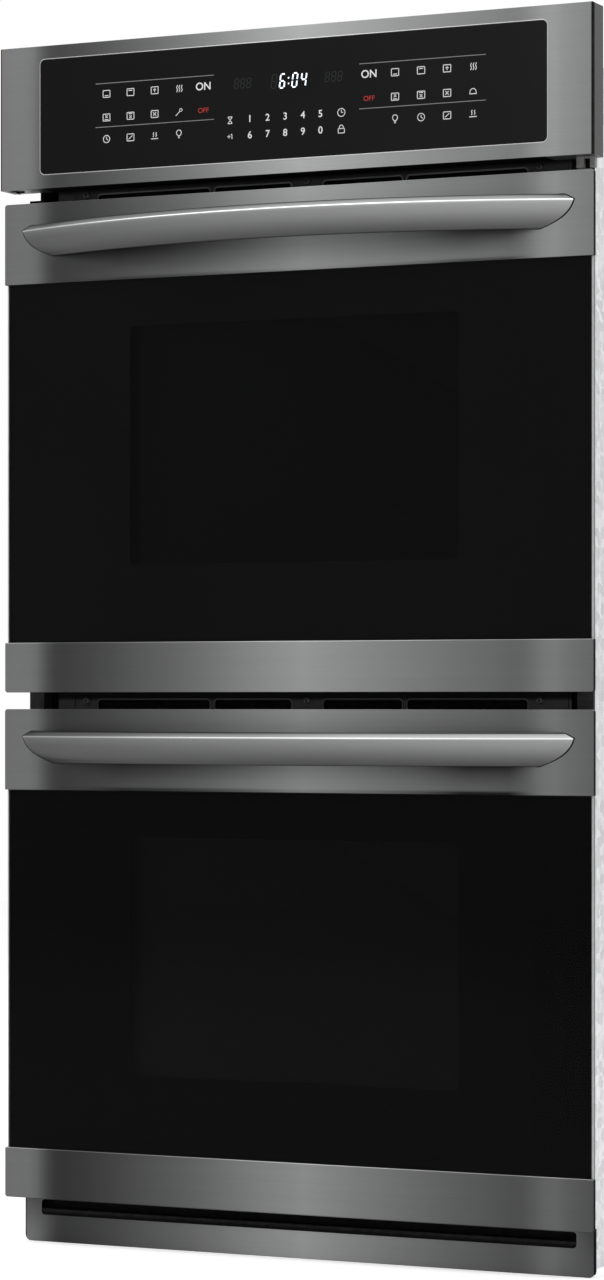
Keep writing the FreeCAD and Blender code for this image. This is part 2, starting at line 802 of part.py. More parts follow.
def fan_baffle(bottom):
    """The perforated cover over a convection fan."""
    y = (cavity_back - baffle_depth, cavity_back)
    z = fan_centre_z(bottom)
    outer = soft_block(about(0, baffle_size), y, about(z, baffle_size), baffle_corner)
    inner = soft_block(about(0, baffle_size - 2 * thin), (y[0] + thin, y[1] + 1),
                       about(z, baffle_size - 2 * thin), baffle_corner - thin)
    cuts = [inner]
    for ring in range(baffle_hole_rings):
        for step in range(max(1, 6 * ring)):
            angle = 2 * math.pi * step / max(1, 6 * ring)
            reach = ring * baffle_hole_pitch
            hole = V(reach * math.cos(angle), y[0] - 1, z + reach * math.sin(angle))
            cuts.append(rod(baffle_hole_radius, hole, hole + V(0, 4, 0)))
    for row in (-2, -1, 1, 2):
        slot = block((baffle_size / 2 - 5, baffle_size / 2 + 5), (y[0] + 12, y[0] + 26),
                     about(z + row * baffle_slot_pitch, baffle_slot_pitch - 11))
        cuts.extend(both_sides(slot))
    return outer.cut(cuts)


def fan_wheel(bottom):
    """A convection fan: disc, hub, straight blades and shaft."""
    back = cavity_back - fan_wall_gap
    centre = V(0, back, fan_centre_z(bottom))
    disc = rod(fan_radius, centre - V(0, sheet, 0), centre)
    hub = rod(fan_hub_radius, centre - V(0, sheet + fan_blade_width, 0), centre)
    shaft = rod(fan_shaft_radius, centre, V(0, cavity_back + motor_length - 12, centre.z))
    blades = []
    for step in range(fan_blade_count):
        blade = block((fan_radius / 2, fan_radius - 1), (back - sheet - fan_blade_width, back - sheet),
                      about(centre.z, sheet))
        blade.rotate(centre, V(0, 1, 0), 360 * step / fan_blade_count)
        blades.append(blade)
    return joined(disc, hub, shaft, *blades)


def convection_motor(bottom):
    """The motor behind a convection fan, with its mounting flange on the cavity's rear wall."""
    wall = cavity_back + thin
    centre = V(0, wall, fan_centre_z(bottom))
    flange = rod(motor_flange_radius, centre, centre + V(0, motor_flange_thickness, 0))
    can = rod(motor_radius, centre, centre + V(0, motor_length, 0))
    bore = rod(fan_shaft_radius + running_fit, centre - V(0, 1, 0), centre + V(0, motor_length - 8, 0))
    return joined(flange, can).cut(bore)


def convection_element(bottom):
    """The ring element round a convection fan, with two legs through the rear wall."""
    centre = V(0, cavity_back - baffle_depth / 2, fan_centre_z(bottom))
    ring = Part.makeTorus(ring_element_radius, element_radius, centre, V(0, 1, 0))
    legs = [rod(ring_leg_radius, V(p.x, centre.y, p.z), V(p.x, insulation_back, p.z))
            for p in ring_leg_points(bottom)]
    return joined(ring, *legs)


# ---- lamps, probes and latches ----
def lamps(bottom):
    """The two side lamps of a cavity: a lens inside and a socket through the wall."""
    wall = lamp_point(bottom)
    lens = rod(lamp_lens_radius, wall - V(lamp_lens_thickness, 0, 0), wall)
    socket = rod(lamp_body_radius, wall, wall + V(lamp_body_length, 0, 0))
    return both_sides(joined(lens, socket))


def temperature_sensor(bottom):
    """A probe that reaches into the cavity from a small plate behind the rear wall."""
    wall = sensor_point(bottom)
    probe = rod(sensor_radius, wall - V(0, sensor_length, 0), wall + V(0, insulation_thickness, 0))
    plate = block(about(wall.x, sensor_plate), (cavity_back + thin, cavity_back + 2 * thin),
                  about(wall.z, sensor_plate))
    return joined(probe, plate)


def latch_motor(bottom):
    """The latch drive on the back of the cavity frame, with its downward pivot and collar."""
    z = latch_z(bottom)
    shelf = z + latch_slot_height / 2 + sheet
    upright = block(about(0, latch_bracket), (frame_back, frame_back + sheet),
                    (shelf, bottom + door_height - frame_head))
    plate = block(about(0, latch_bracket), (frame_back, latch_depth + latch_motor_radius),
                  (shelf, shelf + sheet))
    foot = V(0, latch_depth + 4, shelf)
    can = rod(latch_motor_radius, foot, foot + V(0, 0, sheet + latch_motor_height))
    low = z - latch_plate / 2 - slide_gap
    pivot = rod(latch_pin_radius, V(0, latch_depth, low), V(0, latch_depth, shelf))
    collar = rod(latch_collar_radius, V(0, latch_depth, low - sheet), V(0, latch_depth, low))
    return joined(upright, plate, can, pivot, collar)


def latch_hook(bottom):
    """A flat hook that swings forward into the door; its lip leads the swing."""
    z = about(latch_z(bottom), latch_plate)
    pivot = V(0, latch_depth, z[0])
    boss = Part.makeCylinder(latch_width, latch_plate, pivot)
    arm = block((0, latch_radius - 0.5), about(latch_depth, latch_width), z)
    lip = Part.makeCylinder(latch_radius, latch_plate, pivot, V(0, 0, 1), latch_lip_angle)
    lip = lip.cut(Part.makeCylinder(latch_radius - latch_lip_width, latch_plate, pivot))
    lip.rotate(pivot, V(0, 0, 1), -latch_lip_angle)
    bore = Part.makeCylinder(latch_pin_radius + running_fit, latch_plate, pivot)
    return joined(boss, arm, lip).cut(bore)


# ---- cooling blower and supply ----
def duct_plan(inset, height, low):
    """The duct in plan: wide at the front, narrowing to the scroll."""
    wide, narrow = duct_half_width - inset, blower_radius - inset
    front, straight, back = frame_back, frame_back + duct_length / 3, blower_depth
    if inset:
        front -= 1
    right = [(wide, front), (wide, straight), (narrow, frame_back + duct_length), (narrow, back)]
    left = [(-x, y) for x, y in reversed(right)]
    points = [V(x, y, low) for x, y in right + left]
    face = Part.Face(Part.makePolygon(points + points[:1]))
    return face.extrude(V(0, 0, height))


def cooling_fan_housing():
    """The air duct above the upper cavity with the blower scroll standing on it."""
    low = gap_floor("upper")
    centre = V(0, blower_depth, low)
    up = V(0, 0, 1)
    deck = block(about(0, 2 * inner_half), (frame_back + sheet, duct_back), (low, low + sheet))
    scroll = rod(blower_radius, centre, centre + up * blower_height)
    outer = joined(duct_plan(0, duct_height, low), scroll, deck)
    air = joined(duct_plan(sheet, duct_height - 2 * sheet, low + sheet),
                 rod(blower_radius - sheet, centre + up * sheet, centre + up * (blower_height - sheet)))
    inlet = rod(blower_inlet_radius, centre + up * (blower_height - 5),
                centre + up * (blower_height + 1))
    return outer.cut([air, inlet])


def cooling_wheel():
    """The blower wheel: disc, ring, forward blades and a shaft up to the motor."""
    low = gap_floor("upper") + sheet + wheel_gap
    centre = V(0, blower_depth, low)
    up = V(0, 0, 1)
    disc = rod(wheel_radius, centre, centre + up * wheel_disc)
    top = centre + up * wheel_height
    ring = rod(wheel_radius, top - up * wheel_disc, top)
    ring = ring.cut(rod(wheel_radius - wheel_blade_length, top - up * 5, top + up))
    shaft = rod(fan_shaft_radius, centre, V(0, blower_depth, motor_z()[1] - 6))
    blades = []
    for step in range(wheel_blade_count):
        reach = (wheel_radius - wheel_blade_length + blade_inset, wheel_radius - blade_inset)
        blade = block(reach, about(blower_depth, sheet), (low, top.z))
        blade.rotate(centre, up, 360 * step / wheel_blade_count)
        blades.append(blade)
    return joined(disc, ring, shaft, *blades)


def motor_z():
    """Height range of the cooling motor's can."""
    low = gap_floor("upper") + blower_height + cooling_motor_gap
    return (low, low + cooling_motor_height)


def cooling_motor():
    """The blower motor on three arms across the scroll's inlet."""
    low, high = motor_z()
    centre = V(0, blower_depth, low)
    can = rod(cooling_motor_radius, centre, V(0, blower_depth, high))
    arms = []
    for turn in (90, 210, 330):
        reach = (cooling_motor_radius - 4, blower_radius - 4)
        arm = block(reach, about(blower_depth, cooling_arm_width), (low, low + sheet))
        foot = block((reach[1] - cooling_arm_width, reach[1]), about(blower_depth, cooling_arm_width),
                     (low - cooling_motor_gap, low + sheet))
        arm = joined(arm, foot)
        arm.rotate(centre, V(0, 0, 1), turn)
        arms.append(arm)
    bore = rod(fan_shaft_radius + running_fit, centre - V(0, 0, 1), V(0, blower_depth, high - 4))
    return joined(can, *arms).cut(bore)


def supply_point():
    """Centre of the supply inlet on the rear cover."""
    return V(supply_x, rear_face, chassis_height - supply_drop)


def junction_box():
    """The closed terminal box behind the supply inlet."""
    centre = supply_point()
    y = (rear_face - sheet - junction_depth, rear_face - sheet)
    outer = block(about(centre.x, junction_width), y, about(centre.z, junction_height))
    inner = block(about(centre.x, junction_width - 2 * sheet), grown(y, -sheet),
                  about(centre.z, junction_height - 2 * sheet))
    hole = rod(gland_bore + gland_wall, centre - V(0, 10, 0), centre)
    return outer.cut([inner, hole])


def supply_gland():
    """The bushing that the supply conduit enters through."""
    centre = supply_point()
    body = rod(gland_bore + gland_wall, centre - V(0, gland_depth, 0), centre)
    flange = rod(gland_flange_radius, centre, centre + V(0, gland_flange, 0))
    bore = rod(gland_bore, centre - V(0, gland_depth + 1, 0), centre + V(0, gland_flange + 1, 0))
    return joined(body, flange).cut(bore)


# ---- doors ----
def strip(z, free_end):
    """A folded metal strip across a door; its free long edge is folded back and rounded."""
    outer = block(about(0, door_width), (0, frame_plate_front), z)
    edge = z[1] if free_end == "top" else z[0]
    corners = [e for e in edges_along(outer, V(0, 1, 0)) if abs(e.BoundBox.ZMin - edge) < 1]
    outer = outer.makeFillet(strip_corner, corners)
    inner_z = (z[0] - 1, z[1] - strip_skin) if free_end == "top" else (z[0] + strip_skin, z[1] + 1)
    inner = block(about(0, door_width - 2 * strip_side), (strip_skin, frame_plate_front + 1), inner_z)
    return outer.cut(inner)


def handle_strip(bottom):
    """The upper strip, with the two holes for the handle bolts."""
    top = bottom + door_height
    cuts = [rod(handle_bolt_radius, p - V(0, 1, 0), p + V(0, 3, 0)) for p in handle_bolt_points(bottom)]
    return strip((top - handle_strip_height, top), "top").cut(cuts)


def lower_strip(bottom):
    """The plain strip along the bottom of a door."""
    return strip((bottom, bottom + lower_strip_height), "bottom")


def outer_glass(bottom):
    """The dark front glass, tucked behind both strips."""
    z = (bottom + lower_strip_height - glass_tuck,
         bottom + door_height - handle_strip_height + glass_tuck)
    return block(about(0, door_glass_width), (door_glass_front, frame_plate_front), z)


def handle_bolt_points(bottom):
    """Where the handle bolts cross the door face."""
    z = bottom + door_height - handle_drop - handle_bolt_drop
    return [V(x, 0, z) for x in (-handle_bolt_x, handle_bolt_x)]


def handle_radius():
    """Radius of the handle's ridge line in plan, from its span and reach."""
    return ((handle_span / 2) ** 2 + handle_reach ** 2) / (2 * handle_reach)


def handle(bottom):
    """The bowed bar: a ridged section swept round an arc until its ends meet the door."""
    z = bottom + door_height - handle_drop
    y = -handle_reach
    low = V(0, y + handle_face_depth, z - handle_face_height)
    chord = (low - V(0, y, z)).normalize()
    outward = V(0, chord.z, -chord.y)
    middle = (low + V(0, y, z)) / 2 + outward * handle_bulge
    top = V(0, y + handle_facet_depth, z + handle_facet_height)
    back_top = V(0, y + handle_thickness, top.z - 2)
    back_low = V(0, y + handle_thickness + 2, low.z + 4)
    face = Part.Arc(V(0, y, z), middle, low).toShape()
    rest = Part.makePolygon([low, back_low, back_top, top, V(0, y, z)])
    section = Part.Face(Part.Wire([face] + rest.Edges))
    centre = V(0, y + handle_radius(), 0)
    half_turn = math.degrees(math.asin(handle_span / 2 / handle_radius())) + 2
    section.rotate(centre, V(0, 0, 1), -half_turn)
    bar = section.revolve(centre, V(0, 0, 1), 2 * half_turn)
    behind = block(about(0, 2 * handle_span), (0, 4 * handle_reach), (z - 100, z + 100))
    holes = [rod(handle_bolt_radius, p - V(0, handle_bolt_depth, 0), p) for p in handle_bolt_points(bottom)]
    return bar.cut([behind] + holes)


def handle_bolts(bottom):
    """The bolts that come through the door frame into the handle."""
    seat = V(0, frame_plate_front + thin, 0)
    bolts = []
    for point in handle_bolt_points(bottom):
        shank = rod(handle_bolt_radius, point - V(0, handle_bolt_depth, 0), point + seat)
        head = rod(handle_bolt_head_radius, point + seat, point + seat + V(0, handle_bolt_head_height, 0))
        bolts.append(joined(shank, head))
    return bolts


def window_z(bottom, grow):
    """Height range of the window, made larger by a margin."""
    return grown((bottom + window_foot, bottom + window_foot + window_height), grow)


def body_z(bottom):
    """Height range of the closed door body."""
    return (bottom + door_body_drop, bottom + door_height - door_body_head)


def arm_notch(bottom):
    """The space that both hinge arms sweep through the door's lower edge."""
    x = about(hinge_x, hinge_arm_thickness + 2 * hinge_notch_gap)
    z = (bottom - 1, hinge_axis_z(bottom) + hinge_eye_radius + hinge_notch_gap)
    return both_sides(block(x, (hinge_depth - hinge_eye_radius - hinge_notch_gap, plug_back), z))


def door_frame(bottom):
    """The pressed frame behind the glass and strips, with the hollow door body behind it."""
    plate_y = (frame_plate_front, frame_plate_front + thin)
    plate = block(about(0, door_glass_width + 2 * frame_edge), plate_y,
                  (bottom + strip_skin, bottom + door_height - strip_skin))
    body = block(about(0, door_body_width), (plate_y[0], door_body_back), body_z(bottom))
    hollow = block(about(0, door_body_width - 2 * thin), (plate_y[1], door_body_back + 1),
                   grown(body_z(bottom), -thin))
    edge = block((door_glass_width / 2, door_glass_width / 2 + frame_edge),
                 (door_glass_front + frame_edge_inset, plate_y[1]),
                 (bottom + lower_strip_height, bottom + door_height - handle_strip_height))
    bosses = [rod(handle_boss_radius, p + V(0, strip_skin, 0), p + V(0, plate_y[1], 0))
              for p in handle_bolt_points(bottom)]
    window = soft_block(about(0, window_width + window_seat), grown(plate_y, 1),
                        window_z(bottom, window_seat / 2), window_corner)
    bolts = [rod(handle_bolt_radius, p, p + V(0, 12, 0)) for p in handle_bolt_points(bottom)]
    frame = joined(plate, body.cut(hollow), *both_sides(edge), *bosses)
    return frame.cut([window] + bolts + arm_notch(bottom))


def door_liner(bottom):
    """The inner door skin, pressed out into a plug that faces the cavity."""
    flange_y = (door_body_back, door_body_back + thin)
    z = (bottom + plug_foot, bottom + door_height - plug_head)
    flange = block(about(0, door_body_width), flange_y, body_z(bottom))
    plug = soft_block(about(0, plug_width), (door_body_back, plug_back), z, plug_corner)
    hollow = soft_block(about(0, plug_width - 2 * thin), (door_body_back - 1, plug_back - thin),
                        grown(z, -thin), plug_corner - thin)
    face = (plug_back - 5, plug_back + 1)
    window = soft_block(about(0, window_width), face, window_z(bottom, 0), window_corner)
    slot = block((latch_slot_side, latch_radius + 3), face, about(latch_z(bottom), latch_slot_height))
    return joined(flange, plug).cut([hollow, window, slot] + arm_notch(bottom))


def door_window(bottom):
    """The inner glazing: a spacer sleeve with a middle pane in it and an inner pane behind it."""
    width = window_width + 2 * window_seat
    sleeve_y = (frame_plate_front + thin, plug_back - thin - pane_thickness)
    sleeve = block(about(0, width), sleeve_y, window_z(bottom, window_seat))
    hollow = block(about(0, width - 2 * thin), grown(sleeve_y, 1), window_z(bottom, window_seat - thin))
    middle_y = (middle_pane_front, middle_pane_front + pane_thickness)
    middle = block(about(0, width - 2 * thin), middle_y, window_z(bottom, window_seat - thin))
    inner = block(about(0, width), (sleeve_y[1], plug_back - thin), window_z(bottom, window_seat))
    return [sleeve.cut(hollow), middle, inner]


def hinge_channels(bottom):
    """The door half of both hinges: an upright channel and the pin across its foot."""
    low = bottom + door_body_drop + thin
    front = frame_plate_front + thin
    outer = block(about(hinge_x, 2 * channel_half), (front, hinge_channel_back),
                  (low, low + hinge_channel_height))
    inner = block(about(hinge_x, 2 * channel_gap), (front + hinge_channel_wall, hinge_channel_back + 1),
                  (low - 1, low + hinge_channel_height + 1))
    axis = V(hinge_x, hinge_depth, hinge_axis_z(bottom))
    reach = V(channel_half + 1, 0, 0)
    pin = rod(hinge_pin_radius, axis - reach, axis + reach)
    channel = outer.cut([inner, pin])
    return both_sides(channel) + both_sides(pin)


def hinge_arms(bottom):
    """The oven half of both hinges: an eye round the pin and an arm back into the receiver."""
    axis = V(hinge_x, hinge_depth, hinge_axis_z(bottom))
    half = V(hinge_arm_thickness / 2, 0, 0)
    eye = rod(hinge_eye_radius, axis - half, axis + half)
    arm = block(about(hinge_x, hinge_arm_thickness), (hinge_depth, hinge_arm_end),
                about(axis.z, 2 * hinge_eye_radius))
    bore = rod(hinge_pin_radius + running_fit, axis - half * 2, axis + half * 2)
    return both_sides(joined(eye, arm).cut(bore))


def hinge_receivers(bottom):
    """The sockets behind the cavity frame that hold the hinge arms."""
    z = about(hinge_axis_z(bottom), 2 * hinge_eye_radius)
    y = (frame_back, frame_back + receiver_length)
    outer = block(about(hinge_x, 2 * (channel_gap + receiver_wall)), y, grown(z, receiver_wall))
    inner = block(about(hinge_x, 2 * channel_gap), grown(y, 1), z)
    return both_sides(outer.cut(inner))


# ---- racks ----
def rack(bottom, level):
    """A wire rack: side rails, cross rods, a raised rear stop and lengthwise wires."""
    z = bottom + floor_rise + ledge_tops[level] + slide_gap + rack_rod_radius
    half = cavity_half - rack_side_gap - rack_rod_radius
    front, back = frame_front + rack_front_inset, frame_front + rack_front_inset + rack_depth
    front, back = front + rack_rod_radius, back - rack_rod_radius
    pieces = []
    for x in (-half, half):
        pieces.append(rod(rack_rod_radius, V(x, front, z), V(x, back, z)))
        pieces += [Part.makeSphere(rack_rod_radius, V(x, y, z)) for y in (front, back)]
    for y in (front, (front + back) / 2, back):
        pieces.append(rod(rack_rod_radius, V(-half, y, z), V(half, y, z)))
    top = z + rack_rod_radius + rack_wire_radius / 2
    for step in range(rack_wire_count):
        x = half * (2 * (step + 1) / (rack_wire_count + 1) - 1)
        pieces.append(rod(rack_wire_radius, V(x, front, top), V(x, back, top)))
    stop = z + rack_stop_height
    inner = half - rack_stop_inset
    pieces.append(rod(rack_rod_radius, V(-inner, back, stop), V(inner, back, stop)))
    for x in (-inner, inner):
        pieces.append(Part.makeSphere(rack_rod_radius, V(x, back, stop)))
        pieces.append(rod(rack_rod_radius, V(x, back, z), V(x, back, stop)))
    return joined(*pieces)


# ---- write everything ----
def save_chassis():
    """The fixed pieces of the oven."""
    save("base_pan", base_pan())
    save("base_trim", base_trim())
    save("base_louver", base_louver())
    save("side_panel_right", side_panel())
    save("side_panel_left", mirrored(side_panel()))
    save_group("side_trims", both_sides(side_trim()))
    save("rear_cover", rear_cover())
    save("top_cover", top_cover())
    save("middle_duct", middle_duct())
    save("vent_trim_upper", vent_trim("upper"))
    save("vent_trim_middle", vent_trim("middle"))
    save_group("chassis_screws", chassis_screws())
    save("control_panel_trim", control_panel_trim())
    save("control_glass", control_glass())
    save("control_tray", control_tray())
    save("display_module", display_module())
    save("control_board", control_board())
    save("cooling_fan_housing", cooling_fan_housing())
    save("cooling_fan_wheel", cooling_wheel())
    save("cooling_motor", cooling_motor())
    save("junction_box", junction_box())
    save("supply_gland", supply_gland())


def save_oven_groups():
    """Pieces that both ovens have alike, kept as groups."""
    bottoms = list(oven_bottoms.values())
    save_group("cavity_insulation", [insulation(b) for b in bottoms])
    save_group("door_gaskets", [gasket(b) for b in bottoms])
    save_group("broil_elements", [bent_tube(broil_points(b), element_radius, element_bend) for b in bottoms])
    save_group("bake_elements", [bent_tube(bake_points(b), element_radius, element_bend) for b in bottoms])
    save_group("convection_elements", [convection_element(b) for b in bottoms])
    save_group("fan_baffles", [fan_baffle(b) for b in bottoms])
    save_group("convection_motors", [convection_motor(b) for b in bottoms])
    save_group("temperature_sensors", [temperature_sensor(b) for b in bottoms])
    save_group("latch_motors", [latch_motor(b) for b in bottoms])
    save_group("oven_lamps", [lamp for b in bottoms for lamp in lamps(b)])
    save_group("hinge_arms", [arm for b in bottoms for arm in hinge_arms(b)])
    save_group("hinge_receivers", [piece for b in bottoms for piece in hinge_receivers(b)])


def save_oven(name, bottom):
    """The named pieces of one oven and its door."""
    save(name + "_cavity", cavity(bottom))
    save(name + "_fan_wheel", fan_wheel(bottom))
    save(name + "_latch_hook", latch_hook(bottom))
    save(name + "_rack_high", rack(bottom, rack_upper_level))
    save(name + "_rack_low", rack(bottom, rack_lower_level))
    save(name + "_door_handle_strip", handle_strip(bottom))
    save(name + "_door_lower_strip", lower_strip(bottom))
    save(name + "_door_glass", outer_glass(bottom))
    save_group(name + "_door_handle", [handle(bottom)] + handle_bolts(bottom))
    save(name + "_door_frame", door_frame(bottom))
    save(name + "_door_liner", door_liner(bottom))
    save_group(name + "_door_window", door_window(bottom))
    save_group(name + "_door_hinges", hinge_channels(bottom))


os.makedirs("parts", exist_ok=True)
save_chassis()
save_oven_groups()
for oven, oven_bottom in oven_bottoms.items():
    save_oven(oven, oven_bottom)
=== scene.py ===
"""Finishes and fine detail of a double wall oven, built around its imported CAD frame.

Lengths are in metres, +Z is up and the oven's front looks along -Y. Every piece is placed from
the boxes of the CAD nodes, and rides on the body whose node it stands for or sits on.
"""
from __future__ import annotations

import json
import logging
import math
from dataclasses import dataclass, field
from enum import Enum
from typing import Callable, Iterable, Sequence

import bmesh
import bpy
from mathutils import Matrix, Vector

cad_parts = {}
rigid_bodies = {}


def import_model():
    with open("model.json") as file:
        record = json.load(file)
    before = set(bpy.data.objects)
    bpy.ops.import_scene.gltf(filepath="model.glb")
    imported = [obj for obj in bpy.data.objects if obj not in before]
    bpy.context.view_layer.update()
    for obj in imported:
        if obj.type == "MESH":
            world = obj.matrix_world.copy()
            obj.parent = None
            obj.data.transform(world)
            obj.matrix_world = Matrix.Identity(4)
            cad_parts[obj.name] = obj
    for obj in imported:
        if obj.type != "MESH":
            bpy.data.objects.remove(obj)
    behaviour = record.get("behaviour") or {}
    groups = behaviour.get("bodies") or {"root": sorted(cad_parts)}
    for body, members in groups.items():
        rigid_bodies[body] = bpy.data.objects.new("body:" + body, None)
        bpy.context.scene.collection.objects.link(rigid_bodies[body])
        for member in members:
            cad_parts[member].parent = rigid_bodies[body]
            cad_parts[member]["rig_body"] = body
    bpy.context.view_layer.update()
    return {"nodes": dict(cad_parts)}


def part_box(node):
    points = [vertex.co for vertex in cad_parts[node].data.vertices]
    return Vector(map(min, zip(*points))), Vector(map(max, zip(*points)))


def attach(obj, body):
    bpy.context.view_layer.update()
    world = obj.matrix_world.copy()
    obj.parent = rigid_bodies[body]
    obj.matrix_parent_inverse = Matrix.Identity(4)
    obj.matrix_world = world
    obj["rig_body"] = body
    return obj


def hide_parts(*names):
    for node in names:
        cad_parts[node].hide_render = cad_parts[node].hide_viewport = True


log = logging.getLogger("wall_oven")

MM = 0.001
# points nearer than this are one point
JOIN_REACH = 0.01 * MM
# in degrees: faces flatter than this are one face, edges sharper than this are rounded, and edges sharper
# than this on a rounded copy are shaded as edges
FLAT_ANGLE = 1.0
SHARP_ANGLE = 40.0
SHADED_ANGLE = 50.0
FORWARD = Vector((0, -1, 0))
BACKWARD = Vector((0, 1, 0))
SIDEWAYS = Vector((1, 0, 0))
UPWARD = Vector((0, 0, 1))
Socket = bpy.types.NodeSocket
Loop = list[Vector]


class Slot(Enum):
    """The record's material slots."""

    STEEL = "brushed_dark_steel"
    PAINT = "black_paint"
    ZINC = "galvanised_steel"
    FRAME = "grey_frame"
    ENAMEL = "dark_enamel"
    TINTED = "tinted_glass"
    CLEAR = "clear_glass"
    WOOL = "glass_wool"
    SEAL = "woven_seal"
    SHEATH = "element_sheath"
    WIRE = "plated_wire"
    FAN = "fan_steel"
    MOTOR = "motor_black"
    HINGE = "hinge_steel"
    BOARD = "circuit_board"
    GLAND = "gland_plastic"


class Grain(Enum):
    """Which way the brushing of a sheet runs: the noise is stretched along that axis."""

    ACROSS = (5.0, 900.0, 900.0)
    UPRIGHT = (900.0, 900.0, 5.0)
    INWARD = (900.0, 5.0, 900.0)


def linear(level: float) -> float:
    """The linear value of a display level from 0 to 255."""
    share = level / 255.0
    return share / 12.92 if share <= 0.04045 else ((share + 0.055) / 1.055) ** 2.4


# ---------------------------------------------------------------- shader node trees
class Graph:
    """Adds nodes to one tree and joins them."""

    # the Mix node's sockets for colours: its two inputs and its output
    MIX_INPUTS = (6, 7)
    MIX_OUTPUT = 2

    def __init__(self, tree: bpy.types.NodeTree) -> None:
        """Keep the tree that the nodes go into."""
        self.tree = tree

    def node(self, kind: str, *inputs: object, **settings: object) -> bpy.types.Node:
        """Add a node.

        Args:
            kind: Blender's name for the node.
            inputs: What its first inputs get, with None for one that is left alone.
            settings: Values for the node's own settings.

        Returns:
            The new node.
        """
        made = self.tree.nodes.new(kind)
        for name, value in settings.items():
            setattr(made, name, value)
        for socket, value in zip(made.inputs, inputs):
            self.feed(socket, value)
        return made

    def feed(self, socket: Socket, value: object) -> None:
        """Link a socket to an input, or set the input to a plain value.

        Args:
            socket: The socket.
            value: What it gets, or None to leave it alone.
        """
        if isinstance(value, bpy.types.NodeSocket):
            self.tree.links.new(value, socket)
        elif value is not None:
            socket.default_value = value

    def math(self, operation: str, first: object, second: object = None, clamp: bool = False) -> Socket:
        """Add a math node and return its result."""
        return self.node("ShaderNodeMath", first, second, operation=operation, use_clamp=clamp).outputs[0]

    def stretched(self, point: Socket, by: object) -> Socket:
        """A point with each coordinate multiplied."""
        return self.node("ShaderNodeVectorMath", point, by, operation="MULTIPLY").outputs[0]

    def place(self) -> Socket:
        """The point on the piece, in its own coordinates."""
        return self.node("ShaderNodeTexCoord").outputs["Object"]

    def axes(self) -> bpy.types.Node:
        """The point on the piece, parted into X, Y and Z."""
        return self.node("ShaderNodeSeparateXYZ", self.place())

    def noise(self, point: Socket, scale: object, detail: float = 2.0, rough: float = 0.5) -> Socket:
        """Smooth noise between 0 and 1 at a point.

        Args:
            point: Where the noise is read.
            scale: How fine it is.
            detail: How many finer layers it has.
            rough: How strong these are.

        Returns:
            The noise.
        """
        made = self.node("ShaderNodeTexNoise", point)
        self.feed(made.inputs["Scale"], scale)
        made.inputs["Detail"].default_value = detail
        made.inputs["Roughness"].default_value = rough
        return made.outputs["Fac"]

    def spread(self, value: Socket, low: float, high: float, new_low: float = 0.0,
               new_high: float = 1.0) -> Socket:
        """Map a range of values to another, without going past its ends.

        Args:
            value: The value.
            low: The lower end of its range.
            high: The upper end.
            new_low: What the lower end becomes.
            new_high: What the upper end becomes.

        Returns:
            The mapped value.
        """
        made = self.node("ShaderNodeMapRange", value)
        ends = {"From Min": low, "From Max": high, "To Min": new_low, "To Max": new_high}
        for name, number in ends.items():
            made.inputs[name].default_value = number
        return made.outputs["Result"]

    def ramp(self, value: Socket, stops: Sequence[tuple[float, Sequence[float]]]) -> Socket:
        """A colour ramp through (position, colour) stops.

        Args:
            value: The place on the ramp.
            stops: Its stops in order.

        Returns:
            The colour.
        """
        made = self.node("ShaderNodeValToRGB", value)
        band = made.color_ramp
        while len(band.elements) < len(stops):
            band.elements.new(1.0)
        for element, (position, colour) in zip(band.elements, stops):
            element.position = position
            element.color = (*colour, 1.0)
        return made.outputs["Color"]

    def grey_ramp(self, value: Socket, stops: Sequence[tuple[float, float]]) -> Socket:
        """A grey ramp through (position, level) stops."""
        return self.ramp(value, [(position, (level,) * 3) for position, level in stops])

    def blend(self, share: object, first: object, second: object) -> Socket:
        """Mix two colours.

        Args:
            share: How much of the second one.
            first: The first colour.
            second: The second colour.

        Returns:
            The mix.
        """
        made = self.node("ShaderNodeMix", share, data_type="RGBA")
        for index, colour in zip(self.MIX_INPUTS, (first, second)):
            self.feed(made.inputs[index], colour)
        return made.outputs[self.MIX_OUTPUT]

    def relief(self, shader: bpy.types.Node, height: Socket, depth: float, strength: float) -> None:
        """Tilt a shader's normals by a height.

        Args:
            shader: The shader.
            height: The height.
            depth: How many metres a height of 1 stands for.
            strength: How much of the tilt is kept.
        """
        made = self.node("ShaderNodeBump")
        made.inputs["Strength"].default_value = strength
        made.inputs["Distance"].default_value = depth
        self.feed(made.inputs["Height"], height)
        self.feed(shader.inputs["Normal"], made.outputs["Normal"])

    def ends(self, inputs: dict[str, float], outputs: Iterable[str]) -> tuple[bpy.types.Node, bpy.types.Node]:
        """Give a node group its numbers, and place the nodes that bring them in and out.

        Args:
            inputs: The inputs' names and defaults.
            outputs: The outputs' names.

        Returns:
            The node that brings them in and the node that brings them out.
        """
        face = self.tree.interface
        for name, value in inputs.items():
            face.new_socket(name, in_out="INPUT", socket_type="NodeSocketFloat").default_value = value
        for name in outputs:
            face.new_socket(name, in_out="OUTPUT", socket_type="NodeSocketFloat")
        return self.node("NodeGroupInput"), self.node("NodeGroupOutput")


